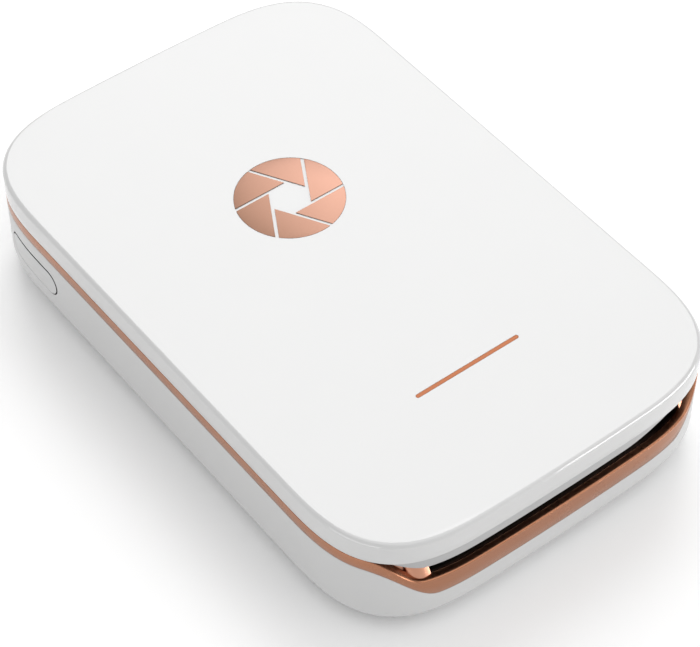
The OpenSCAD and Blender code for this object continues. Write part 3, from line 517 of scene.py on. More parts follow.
    def rounded(self, radius: float, steps: int, inset: float, low: float) -> list[Ring]:
        """Rings of a quarter round from a flat face below out to the wall.

        Args:
            radius: Radius of the rounding.
            steps: Steps of the rounding.
            inset: Distance of the wall inside the outer face.
            low: Level of the flat face.

        Returns:
            The rings.
        """
        turns = (math.pi / 2 * (1 - i / steps) for i in range(steps + 1))
        return [self.ring(inset + radius * (1 - math.cos(turn)), low + radius * (1 - math.sin(turn)))
                for turn in turns]


# Finishes


class NodeBuilder:
    """Short calls for building a node tree."""

    def __init__(self, tree: Tree) -> None:
        """Keep the tree to build in."""
        self.tree = tree

    def put(self, node: Node, name: str | int, value: object) -> None:
        """Set one input to a value or a plain colour, or link it to an output socket.

        Args:
            node: The node.
            name: Name or number of the input.
            value: The value, colour or socket.
        """
        socket = node.inputs[name]
        if isinstance(value, Socket):
            self.tree.links.new(value, socket)
        else:
            socket.default_value = (*value, 1.0) if socket.type == "RGBA" else value

    def fill(self, node: Node, inputs: Inputs) -> Node:
        """Set several inputs of a node.

        Args:
            node: The node.
            inputs: Values or output sockets by name, with spaces written as underscores.

        Returns:
            The same node.
        """
        for key, value in inputs.items():
            self.put(node, key.replace("_", " "), value)
        return node

    def add(self, kind: str, **inputs: object) -> Node:
        """Add a node and set its inputs by name."""
        return self.fill(self.tree.nodes.new(kind), inputs)

    def group(self, tree: Tree, **inputs: object) -> Node:
        """Place a node group and set its inputs.

        Args:
            tree: The group's tree.
            inputs: Values or output sockets by name.

        Returns:
            The new node.
        """
        node = self.tree.nodes.new("ShaderNodeGroup")
        node.node_tree = tree
        return self.fill(node, inputs)

    def math(self, operation: str, a: object, b: object, kind: str = "Math") -> Socket:
        """Add a maths node.

        Args:
            operation: The node's operation.
            a: First value.
            b: Second value.
            kind: Math for numbers, VectorMath for vectors.

        Returns:
            The result.
        """
        node = self.tree.nodes.new(f"ShaderNode{kind}")
        node.operation = operation
        self.put(node, 0, a)
        self.put(node, 1, b)
        return node.outputs[0]

    def mix(self, factor: object, a: object, b: object) -> Socket:
        """Mix two colours.

        Args:
            factor: Share of the second colour.
            a: First colour.
            b: Second colour.

        Returns:
            The mixed colour.
        """
        node = self.tree.nodes.new("ShaderNodeMix")
        node.data_type = "RGBA"
        for index, value in ((0, factor), (6, a), (7, b)):
            self.put(node, index, value)
        return node.outputs[2]

    def ranged(self, value: object, low: float, high: float, to_low: float = 0.0,
               to_high: float = 1.0) -> Socket:
        """Map a value from one range to another, clamped.

        Args:
            value: The value.
            low: Start of its range.
            high: End of its range.
            to_low: Start of the new range.
            to_high: End of the new range.

        Returns:
            The mapped value.
        """
        node = self.tree.nodes.new("ShaderNodeMapRange")
        for index, item in enumerate((value, low, high, to_low, to_high)):
            self.put(node, index, item)
        return node.outputs[0]

    def noise(self, vector: Socket, scale: object, detail: float, **more: float) -> Socket:
        """Add a noise texture and return its value."""
        node = self.add("ShaderNodeTexNoise", Vector=vector, Scale=scale, Detail=detail, **more)
        return node.outputs["Fac"]

    def bump(self, height: Socket, depth: object, strength: float = 1.0) -> Socket:
        """Turn a height into a normal."""
        node = self.add("ShaderNodeBump", Strength=strength, Distance=depth, Height=height)
        return node.outputs["Normal"]

    def spread(self, value: Socket, amount: object) -> Socket:
        """Centre a texture's value on zero and scale it."""
        return self.math("MULTIPLY", self.math("SUBTRACT", value, 0.5), amount)

    def drift(self, place: Socket, colour: object, amount: float, roughness: float, change: float,
              scale: float) -> Inputs:
        """Colour and roughness with the shared drift over them.

        Args:
            place: Object coordinates.
            colour: The finish's colour.
            amount: Share by which the tone drifts.
            roughness: The finish's roughness.
            change: Amount by which the roughness drifts.
            scale: Scale of the drift.

        Returns:
            The shader's inputs.
        """
        node = self.group(tone_drift(), Vector=place, Colour=colour, Amount=amount, Roughness=roughness,
                          Gloss_change=change, Scale=scale)
        return {"Base_Color": node.outputs["Colour"], "Roughness": node.outputs["Roughness"]}

    def grain(self, place: Socket, scale: float, depth: float) -> Socket:
        """The shared mould grain's normal."""
        return self.group(mould_grain(), Vector=place, Scale=scale, Depth=depth).outputs["Normal"]

    def coating(self, place: Socket, colour: object, roughness: float) -> Inputs:
        """The shader's inputs for a thin, fine-grained metallic coating."""
        return {**self.drift(place, colour, 0.04, roughness, 0.05, 90.0),
                "Normal": self.grain(place, COATING_GRAIN, COATING_DEPTH)}


def open_group(name: str, inputs: dict[str, str],
               outputs: dict[str, str]) -> tuple[NodeBuilder, dict[str, Socket], Node]:
    """Start a node group with named sockets.

    Args:
        name: Name of the group.
        inputs: Kind of each input by name.
        outputs: Kind of each output by name.

    Returns:
        The group's builder, its inputs by name and its output node.
    """
    tree = bpy.data.node_groups.new(name, "ShaderNodeTree")
    for way, sockets in (("INPUT", inputs), ("OUTPUT", outputs)):
        for label, kind in sockets.items():
            tree.interface.new_socket(name=label, in_out=way, socket_type=f"NodeSocket{kind}")
    start = tree.nodes.new("NodeGroupInput")
    return NodeBuilder(tree), {s.name: s for s in start.outputs}, tree.nodes.new("NodeGroupOutput")


@cache
def mould_grain() -> Tree:
    """Fine spark-eroded grain of a mould, as a normal.

    Returns:
        The group's tree.
    """
    make, given, end = open_group(
        "Mould grain", {"Vector": "Vector", "Scale": "Float", "Depth": "Float"}, {"Normal": "Vector"})
    pits = make.noise(given["Vector"], given["Scale"], 3.0, Roughness=0.6)
    soft = make.noise(given["Vector"], make.math("MULTIPLY", given["Scale"], 0.31), 2.0)
    height = make.math("ADD", make.math("MULTIPLY", pits, 0.7), make.math("MULTIPLY", soft, 0.3))
    make.put(end, "Normal", make.bump(height, given["Depth"]))
    return make.tree


@cache
def tone_drift() -> Tree:
    """Slow drift of tone and gloss over a surface, as handling and moulding leave it.

    Returns:
        The group's tree.
    """
    make, given, end = open_group(
        "Tone drift",
        {"Vector": "Vector", "Colour": "Color", "Amount": "Float", "Roughness": "Float",
         "Gloss change": "Float", "Scale": "Float"},
        {"Colour": "Color", "Roughness": "Float"})
    broad = make.noise(given["Vector"], given["Scale"], 3.0, Roughness=0.55)
    tone = make.add("ShaderNodeHueSaturation", Color=given["Colour"],
                    Value=make.math("ADD", 1.0, make.spread(broad, given["Amount"])))
    handled = make.noise(given["Vector"], make.math("MULTIPLY", given["Scale"], 2.7), 4.0, Roughness=0.6)
    make.put(end, "Colour", tone.outputs["Color"])
    gloss = make.math("ADD", given["Roughness"], make.spread(handled, given["Gloss change"]))
    make.put(end, "Roughness", gloss)
    return make.tree


@cache
def brush_lines() -> Tree:
    """Fine lines of a drawn or turned metal, as a normal.

    Returns:
        The group's tree.
    """
    make, given, end = open_group(
        "Brush lines", {"Vector": "Vector", "Across": "Vector", "Depth": "Float"}, {"Normal": "Vector"})
    stretched = make.math("MULTIPLY", given["Vector"], given["Across"], "VectorMath")
    make.put(end, "Normal", make.bump(make.noise(stretched, 1.0, 3.0, Roughness=0.65), given["Depth"]))
    return make.tree


@dataclass(frozen=True)
class Surface:
    """What every finish has: a name, and one shader on the object's own coordinates."""

    name: str

    def inputs(self, make: NodeBuilder, place: Socket) -> Inputs:
        """What the shader is given, by input."""
        raise NotImplementedError

    def material(self) -> bpy.types.Material:
        """Build the material.

        Returns:
            The new material.
        """
        material = bpy.data.materials.new(self.name)
        material.use_nodes = True
        material.node_tree.nodes.clear()
        make = NodeBuilder(material.node_tree)
        place = make.add("ShaderNodeTexCoord").outputs["Object"]
        shader = make.add("ShaderNodeBsdfPrincipled", **self.inputs(make, place))
        make.add("ShaderNodeOutputMaterial", Surface=shader.outputs["BSDF"])
        return material


@dataclass(frozen=True)
class Moulded(Surface):
    """A moulded plastic or rubber with a fine grain."""

    colour: Colour
    roughness: float = 0.42
    grain: float = 3600.0
    depth: float = 0.000012
    amount: float = 0.03
    specular: float = 0.5
    metallic: float = 0.0
    coat: float = 0.0
    coat_roughness: float = 0.2
    coat_ior: float = 1.5
    sheen: float = 0.0

    def inputs(self, make: NodeBuilder, place: Socket) -> Inputs:
        """What the shader is given, by input."""
        return {**make.drift(place, self.colour, self.amount, self.roughness, 0.06, 60.0),
                "Normal": make.grain(place, self.grain, self.depth), "Metallic": self.metallic,
                "Specular_IOR_Level": self.specular, "Coat_Weight": self.coat,
                "Coat_Roughness": self.coat_roughness, "Coat_IOR": self.coat_ior,
                "Sheen_Weight": self.sheen}


@dataclass(frozen=True)
class ShadePaintedCoating(Surface):
    """A metallic coating with painted shade: its colour darkens to near black down into the slot, where
    the slot's shade falls.
    """

    colour: Colour
    # The near black of the painted shade deep in the slot.
    painted_shade_colour: Colour = (0.002, 0.001, 0.0007)
    roughness: float = 0.38
    low: float = 0.0119
    high: float = 0.0130
    power: float = 3.4

    def inputs(self, make: NodeBuilder, place: Socket) -> Inputs:
        """What the shader is given, by input.

        Args:
            make: Builder of the material's nodes.
            place: Object coordinates.

        Returns:
            The shader's inputs.
        """
        height = make.add("ShaderNodeSeparateXYZ", Vector=place).outputs["Z"]
        # Painted shade: the colour falls from the copper at the lip's level to near black below it.
        level = make.math("POWER", make.ranged(height, self.low, self.high), self.power)
        coating = make.coating(place, self.colour, self.roughness)
        return {**coating, "Base_Color": make.mix(level, self.painted_shade_colour, coating["Base_Color"]),
                "Metallic": 0.95, "Specular_IOR_Level": 0.2}


@dataclass(frozen=True)
class ReflectionPaintedFoil(Surface):
    """A metallic foil with a painted reflection: its tone rises evenly from the darker left to the
    brighter right.
    """

    low: Colour
    high: Colour
    reach: float = 0.0095
    roughness: float = 0.26

    def inputs(self, make: NodeBuilder, place: Socket) -> Inputs:
        """What the shader is given, by input.

        Args:
            make: Builder of the material's nodes.
            place: Object coordinates.

        Returns:
            The shader's inputs.
        """
        across = make.add("ShaderNodeSeparateXYZ", Vector=place).outputs["X"]
        # Painted reflection: the colour rises from the dark tone at the left to the bright one at the
        # right.
        tone = make.mix(make.ranged(across, -self.reach, self.reach), self.low, self.high)
        return {**make.coating(place, tone, self.roughness), "Metallic": 1.0}


@dataclass(frozen=True)
class Brushed(Surface):
    """A bare metal with drawn or turned lines."""

    colour: Colour
    roughness: float = 0.28
    across: Point = (300.0, 6000.0, 6000.0)
    depth: float = 0.000003

    def inputs(self, make: NodeBuilder, place: Socket) -> Inputs:
        """What the shader is given, by input."""
        lines = make.group(brush_lines(), Vector=place, Across=self.across, Depth=self.depth)
        return {**make.drift(place, self.colour, 0.08, self.roughness, 0.12, 180.0),
                "Normal": lines.outputs["Normal"], "Metallic": 1.0}


@dataclass(frozen=True)
class SolderMask(Surface):
    """A circuit board's mask over copper tracks, with tinned pads in some zones."""

    mask: Colour = (0.012, 0.085, 0.035)
    track: Colour = (0.03, 0.17, 0.07)
    pad: Colour = (0.62, 0.55, 0.40)
    track_scale: float = 420.0
    track_edge: Flat = (0.62, 0.66)
    pad_scale: float = 520.0
    pad_edge: Flat = (0.16, 0.19)
    zone_scale: float = 140.0
    zone_edge: float = 0.56

    def inputs(self, make: NodeBuilder, place: Socket) -> Inputs:
        """What the shader is given, by input.

        Args:
            make: Builder of the material's nodes.
            place: Object coordinates.

        Returns:
            The shader's inputs.
        """
        cells = make.add("ShaderNodeTexVoronoi", Vector=place, Scale=self.track_scale)
        cells.distance = "MANHATTAN"
        tracks = make.ranged(cells.outputs["Distance"], *self.track_edge)
        dots = make.add("ShaderNodeTexVoronoi", Vector=place, Scale=self.pad_scale, Randomness=0.25)
        zones = make.math("GREATER_THAN", make.noise(place, self.zone_scale, 1.0), self.zone_edge)
        spots = make.ranged(dots.outputs["Distance"], *self.pad_edge, 1.0, 0.0)
        pads = make.math("MULTIPLY", spots, zones)
        height = make.math("ADD", tracks, make.math("MULTIPLY", pads, 0.6))
        return {"Base_Color": make.mix(pads, make.mix(tracks, self.mask, self.track), self.pad),
                "Roughness": make.ranged(pads, 0.0, 1.0, 0.32, 0.45),
                "Normal": make.bump(height, 0.00003, 0.5), "Coat_Weight": 0.35, "Coat_Roughness": 0.12}


@dataclass(frozen=True)
class FoilPouch(Surface):
    """The crinkled foil of a flat cell."""

    colour: Colour = (0.50, 0.52, 0.55)

    def inputs(self, make: NodeBuilder, place: Socket) -> Inputs:
        """What the shader is given, by input.

        Args:
            make: Builder of the material's nodes.
            place: Object coordinates.

        Returns:
            The shader's inputs.
        """
        folds = make.noise(place, 220.0, 4.0, Roughness=0.6, Distortion=0.8)
        height = make.math("ADD", folds, make.math("MULTIPLY", make.noise(place, 1600.0, 2.0), 0.15))
        return {**make.drift(place, self.colour, 0.2, 0.34, 0.15, 90.0),
                "Normal": make.bump(height, 0.0002, 0.6), "Metallic": 0.85}


@dataclass(frozen=True)
class FloorPaper(Surface):
    """The pale paper of the studio's floor."""

    colour: Colour = (0.975, 0.975, 0.975)

    def inputs(self, make: NodeBuilder, place: Socket) -> Inputs:
        """What the shader is given, by input."""
        return {**make.drift(place, self.colour, 0.01, 0.35, 0.05, 4.0), "Specular_IOR_Level": 0.3}


class Finish(Enum):
    """The finishes of the printer and its floor."""

    WHITE_SHELL = Moulded("white_gloss_plastic", (0.575, 0.575, 0.573), 0.40, depth=0.000003,
                          amount=0.012, coat=1.0, coat_roughness=0.06, coat_ior=1.75)
    WHITE_BASE = Moulded("white_base_plastic", (0.565, 0.565, 0.563), 0.42, depth=0.000006, amount=0.015,
                         coat=0.4)
    LIGHT_GREY = Moulded("light_grey_plastic", (0.38, 0.382, 0.383), 0.32, depth=0.000006, coat=0.6,
                         coat_roughness=0.1)
    COPPER = Moulded("copper_coating", (0.44, 0.20, 0.115), 0.27, COATING_GRAIN, COATING_DEPTH, 0.05,
                     metallic=1.0)
    # A lighter copy of the copper coating for the slot's end walls: painted light where the skirt shades
    # them.
    CUP = Moulded("copper_coating_painted_light", (0.72, 0.36, 0.24), 0.33, COATING_GRAIN, COATING_DEPTH, 0.05,
                  metallic=1.0)
    # The slot's ramp, with painted shade that darkens it to near black down into the slot.
    SLOT = ShadePaintedCoating("copper_coating_painted_shade", (0.40, 0.182, 0.104))
    # The badge, with a painted reflection that brightens it from its left to its right.
    BADGE = ReflectionPaintedFoil("copper_inlay_painted_reflection", (0.175, 0.097, 0.067), (0.37, 0.205, 0.153))
    STRIPE = Moulded("copper_ink", (0.34, 0.115, 0.047), 0.40, COATING_GRAIN, COATING_DEPTH, 0.04,
                     metallic=0.6)
    BLACK = Moulded("black_texture_plastic", (0.016, 0.016, 0.018), 0.52, 2600.0, 0.00002, 0.2)
    GREY = Moulded("grey_plastic", (0.16, 0.165, 0.17), 0.5, depth=0.000015, amount=0.06)
    RUBBER = Moulded("black_rubber", (0.02, 0.02, 0.021), 0.82, 1800.0, 0.00003, 0.3, specular=0.3,
                     sheen=0.15)
    FOOT_RUBBER = Moulded("grey_foot_rubber", (0.30, 0.30, 0.30), 0.85, 1500.0, 0.00003, 0.12,
                          specular=0.3, sheen=0.15)
    ACETAL = Moulded("acetal_gear", (0.78, 0.76, 0.70), 0.33, 4200.0, 0.000004, 0.05)
    IVORY = Moulded("ivory_plastic", (0.66, 0.62, 0.50), 0.45, amount=0.06)
    CHIP = Moulded("chip_resin", (0.022, 0.022, 0.024), 0.55, 5200.0, 0.00001, 0.3)
    RED_WIRE = Moulded("red_wire_sleeve", (0.42, 0.02, 0.02), 0.38, depth=0.000006, amount=0.1)
    BLUE_WIRE = Moulded("blue_wire_sleeve", (0.03, 0.06, 0.36), 0.38, depth=0.000006, amount=0.1)
    CLEAR = Moulded("frosted_light_pipe", (0.74, 0.77, 0.80), 0.5, depth=0.00001, amount=0.05)
    STEEL = Brushed("drawn_steel", (0.60, 0.61, 0.62))
    ALLOY = Brushed("extruded_alloy", (0.74, 0.75, 0.76), 0.36, (150.0, 5200.0, 5200.0))
    TURNED = Brushed("turned_steel", (0.62, 0.63, 0.64), 0.22, (7000.0, 400.0, 400.0))
    BRASS = Brushed("turned_brass", (0.80, 0.55, 0.20), 0.26, (6000.0, 500.0, 500.0))
    BOARD = SolderMask("circuit_board")
    CERAMIC = Moulded("glazed_ceramic", (0.55, 0.50, 0.42), 0.22, depth=0.000004, amount=0.08)
    FOIL = FoilPouch("foil_pouch")
    FLOOR = FloorPaper("studio_floor")

    def material(self) -> bpy.types.Material:
        """The built material, made once."""
        made = bpy.data.materials.get(self.value.name)
        return self.value.material() if made is None else made


def dress(obj: Object, finish: Finish) -> None:
    """Give an object one finish.

    Args:
        obj: A piece or a carried-over node.
        finish: The finish to put on it.
    """
    material = finish.material()
    for slot in obj.material_slots:
        slot.material = material
    if not obj.material_slots:
        obj.data.materials.append(material)


# Sub-assemblies


@dataclass
class SubAssembly:
    """A group of pieces that ride on one body."""

    form: CaseForm
    body: str = "case"

    def place(self, obj: Object, finish: Finish, slot: str, nodes: Iterable[str],
              body: str = "") -> Object:
        """Dress a finished piece, put it on its body and let it stand for its nodes.

        Args:
            obj: The finished piece.
            finish: Its finish.
            slot: The material slot's name; not used.
            nodes: Nodes that it stands for.
            body: The body it rides on, or nothing for the group's own.

        Returns:
            The placed piece.
        """
        dress(obj, finish)
        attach(obj, body or self.body)
        for node in nodes:
            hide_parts(node)
        LOG.info("%s: %d faces on %s", obj.name, len(obj.data.polygons), body or self.body)
        return obj


@dataclass
class TopCover(SubAssembly):
    """The white cover with its liner, skirt, badge and stripe, and the springs behind it."""

    body: str = "cover"
    top_t: float = 1.5
    rim_r: float = 0.12
    edge_arcs: tuple[Arc, ...] = ((0.0, 20.0, 0.35, 3), (20.0, 40.0, 1.5, 6), (40.0, 90.0, 0.612, 8))
    inlay_t: float = 0.15
    inlay_gap: float = 0.05
    badge_r: float = 9.55
    badge_y: float = 14.2
    badge_eye: float = 0.42
    blades: int = 6
    blade_gap: float = 0.6
    stripe_l: float = 21.0
    stripe_w: float = 0.7
    stripe_y: float = 33.2
    liner_t: float = 1.2
    liner_gap: float = 0.05
    panel_low: Flat = (17.9, -26.5)
    panel_high: Flat = (34.2, 42.0)
    panel_t: float = 0.8
    hook_web: Flat = (28.6, 29.4)
    hook_toe: Flat = (28.7, 30.4)
    hook_ys: tuple[float, ...] = (-5.5, 17.5, 40.5)
    hook_l: float = 8.0
    clip_web: Flat = (17.9, 18.7)
    clip_toe: Flat = (16.9, 18.6)
    clip_l: float = 6.0
    catch_low: float = 16.6
    toe_t: float = 0.5
    skirt_setback: float = 0.35
    skirt_r: float = 0.18
    skirt_ends: Flat = (4.5, 11.0)
    skirt_root: float = 0.5
    seat_r: float = 1.7
    seat_h: float = 0.9
    seat_drop: float = 0.35
    spring_x: float = 10.5
    spring_ys: Flat = (-15.0, 21.0)
    spring_r: float = 2.2
    spring_wire: float = 0.2
    spring_turns: int = 5
    spring_steps: int = 24
    wire_sides: int = 10
    spring_seat_gap: float = 0.02
    plate_travel: float = 2.5

    def build(self) -> None:
        """Build every piece of the cover."""
        self.shell()
        self.springs()
        self.liner()
        self.badge()
        self.stripe()

    def shell(self) -> None:
        """The shell with its rounded top edge and the two shallow recesses, and the springs' seats."""
        form, r = self.form, self.rim_r
        top, low = form.height, form.rim_z
        stations = [(form.wall, top - self.top_t), (form.wall, low + 1.0), (form.wall, low + r),
                    (form.wall - r, low), (r, low), (r * 0.3, low + r * 0.3), (0.0, low + r),
                    (0.0, low + 1.6), (0.0, low + 3.0)]
        edge = form.arcs(*self.edge_arcs)
        stations += [(inset, top - drop) for inset, drop in edge]
        stations.append((edge[-1][0] + 1.2, top))
        shell = loft("cover_shell", [form.ring(inset, level) for inset, level in stations])
        depth = self.inlay_t + 0.5
        recess = disc("recess", (0, self.badge_y, top - self.inlay_t + depth / 2),
                      self.badge_r + self.inlay_gap, depth, vertices=96)
        carve(shell, [recess, self.stripe_solid(self.inlay_gap, top - self.inlay_t, depth)])
        self.place(settle(shell), Finish.WHITE_SHELL, "white_shell", ["top_cover"])
        seats = [disc("seat", (self.spring_x, y, top - self.top_t - self.seat_drop), self.seat_r,
                      self.seat_h, 0.1, 32) for y in self.spring_ys]
        seat = settle(mirrored(join("cover_spring_seats", seats)))
        self.place(seat, Finish.WHITE_SHELL, "white_shell", ["top_cover"])

    def coil_rings(self, foot: float, head: float) -> list[Ring]:
        """Rings round the wire of one coil with closed ends.

        Args:
            foot: Level of its lower end.
            head: Level of its upper end.

        Returns:
            The rings from the foot up.
        """
        wire = self.spring_wire
        rise = head - foot - 2 * wire
        end_rise = 2.1 * wire
        rings: list[Ring] = []
        for i in range(self.spring_turns * self.spring_steps + 1):
            wound = i / self.spring_steps
            if wound < 1:
                level = end_rise * wound
            elif wound > self.spring_turns - 1:
                level = rise - end_rise * (self.spring_turns - wound)
            else:
                level = end_rise + (rise - 2 * end_rise) * (wound - 1) / (self.spring_turns - 2)
            ring: Ring = []
            for k in range(self.wire_sides):
                turn = math.tau * k / self.wire_sides
                reach = self.spring_r - wire + wire * math.cos(turn)
                ring.append((self.spring_x + reach * math.cos(math.tau * wound),
                             self.spring_ys[0] + reach * math.sin(math.tau * wound),
                             foot + wire + level + wire * math.sin(turn)))
            rings.append(ring)
        return rings

    def springs(self) -> None:
        """The four coils over the pressure plate."""
        low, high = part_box("plate_springs")
        foot, top = low[2] / MM + self.spring_seat_gap, high[2]
        coil = loft("plate_spring", self.coil_rings(foot, top / MM - self.spring_seat_gap))
        twin = coil.copy()
        twin.data = coil.data.copy()
        bpy.context.scene.collection.objects.link(twin)
        twin.location = (0.0, (self.spring_ys[1] - self.spring_ys[0]) * MM, 0.0)
        coils = settle(mirrored(join("plate_spring_coils", [coil, twin])), 50)
        self.place(coils, Finish.TURNED, "steel", ["plate_springs"])
        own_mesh(coils)

    def stripe_solid(self, gap: float, low: float, depth: float) -> Object:
        """A bar with round ends for the stripe or its recess.

        Args:
            gap: Widening all round.
            low: Level of the underside.
            depth: Height of the bar.

        Returns:
            The bar.
        """
        ends = pill_outline((0.0, -self.stripe_y), (self.stripe_l - self.stripe_w) / 2,
                            self.stripe_w / 2 + gap, 12)
        return loft("stripe_bar", [[(x, y, level) for x, y in ends] for level in (low, low + depth)])

    def liner(self) -> None:
        """The liner's ring with the skirt, and the panels with hooks and clips."""
        form = self.form
        out = form.wall + self.liner_gap
        inside = out + self.liner_t
        top, low = form.height - self.top_t, form.rim_z
        stations = ((out, low), (inside - 0.15, low), (inside, low + 0.15), (inside, top - 0.01),
                    (out, top - 0.01))
        ring = loft("liner_ring", [form.ring(inset, level) for inset, level in stations], closed=True)
        self.place(settle(ring), Finish.LIGHT_GREY, "light_grey", ["cover_liner"])
        self.skirt(inside - 0.4)
        solids = [block("panel", (*self.panel_low, top - self.panel_t), (*self.panel_high, top - 0.01),
                        0.1)]
        catches = [(self.hook_web, self.hook_toe, y, y + self.hook_l) for y in self.hook_ys]
        catches += [(self.clip_web, self.clip_toe, y - self.clip_l / 2, y + self.clip_l / 2)
                    for y in self.spring_ys]
        low = self.catch_low
        for web, toe, near, far in catches:
            for name, (left, right), level in (("web", web, top - 0.4), ("toe", toe, low + self.toe_t)):
                solids.append(block(name, (left, near, low), (right, far, level), 0.12))
        panels = settle(mirrored(join("liner_panels", solids)))
        self.place(panels, Finish.LIGHT_GREY, "light_grey", ["cover_liner"])

    def skirt(self, root_in: float) -> None:
        """The skirt behind the cover's front, with a rounded lower edge.

        Args:
            root_in: Distance of its root inside the outer face.
        """
        form = self.form
        root = form.rim_z + self.skirt_root
        left, right = self.skirt_ends[0] - form.width / 2, form.width / 2 - self.skirt_ends[1]
        places = zip(form.outline(), form.outline(self.skirt_setback), form.outline(form.wall + 0.02),
                     form.outline(root_in))
        sections: list[Ring] = []
        for outer, face, step, inner in places:
            if outer[1] >= 0 or not left < outer[0] < right:
                continue
            edge = min(form.skirt_edge(outer), form.rim_z - 0.02)
            radius = min(self.skirt_r, (form.rim_z - edge) * 0.45)
            away = Vector((inner[0] - face[0], inner[1] - face[1])).normalized()
            section = [(*inner, edge), (*inner, root), (*step, root), (*step, form.rim_z),
                       (*face, form.rim_z)]
            for k in range(5):
                turn = math.pi / 2 * k / 4
                back = radius * (1 - math.cos(turn))
                section.append((face[0] + away.x * back, face[1] + away.y * back,
                                edge + radius * (1 - math.sin(turn))))
            sections.append(section)
        skirt = settle(loft("cover_skirt", sections))
        self.place(skirt, Finish.LIGHT_GREY, "light_grey", ["cover_liner"])

    def badge(self) -> None:
        """Inlaid blades round an opening with as many sides."""
        top = self.form.height
        eye = self.badge_r * self.badge_eye
        plate = disc("cover_badge_blades", (0, self.badge_y, top - self.inlay_t / 2), self.badge_r,
                     self.inlay_t, 0.03, 120)
        for k in range(self.blades):
            turn = math.radians(360 / self.blades * k)
            angle = turn + math.radians(360 / self.blades)
            start = Vector((eye * math.cos(turn), eye * math.sin(turn)))
            away = Vector((math.cos(angle), math.sin(angle)))
            side = Vector((-math.sin(angle), math.cos(angle)))
            middle = start + away * (self.badge_r - self.blade_gap / 2) + side * self.blade_gap / 2
            deselect()
            bpy.ops.mesh.primitive_cube_add(
                size=1.0, location=(middle.x * MM, (middle.y + self.badge_y) * MM, top * MM),
                rotation=(0, 0, angle))
            gap = bpy.context.object
            gap.scale = ((self.badge_r * 2 + self.blade_gap) * MM, self.blade_gap * MM, MM)
            bpy.ops.object.transform_apply(location=True, rotation=True, scale=True)
            carve(plate, [gap])
        carve(plate, [disc("eye", (0, self.badge_y, top), eye, 1.0, vertices=self.blades,
                           turn=(0, 0, 180 / self.blades))])
        # The blades carry the painted reflection gradient.
        self.place(settle(plate), Finish.BADGE, "copper_trim", ["cover_badge"])

    def stripe(self) -> None:
        """The thin inlaid stripe near the front."""
        bar = settle(self.stripe_solid(0.0, self.form.height - self.inlay_t, self.inlay_t))
        bar.name = "cover_stripe_inlay"
        self.place(bar, Finish.STRIPE, "copper_trim", ["cover_stripe"])


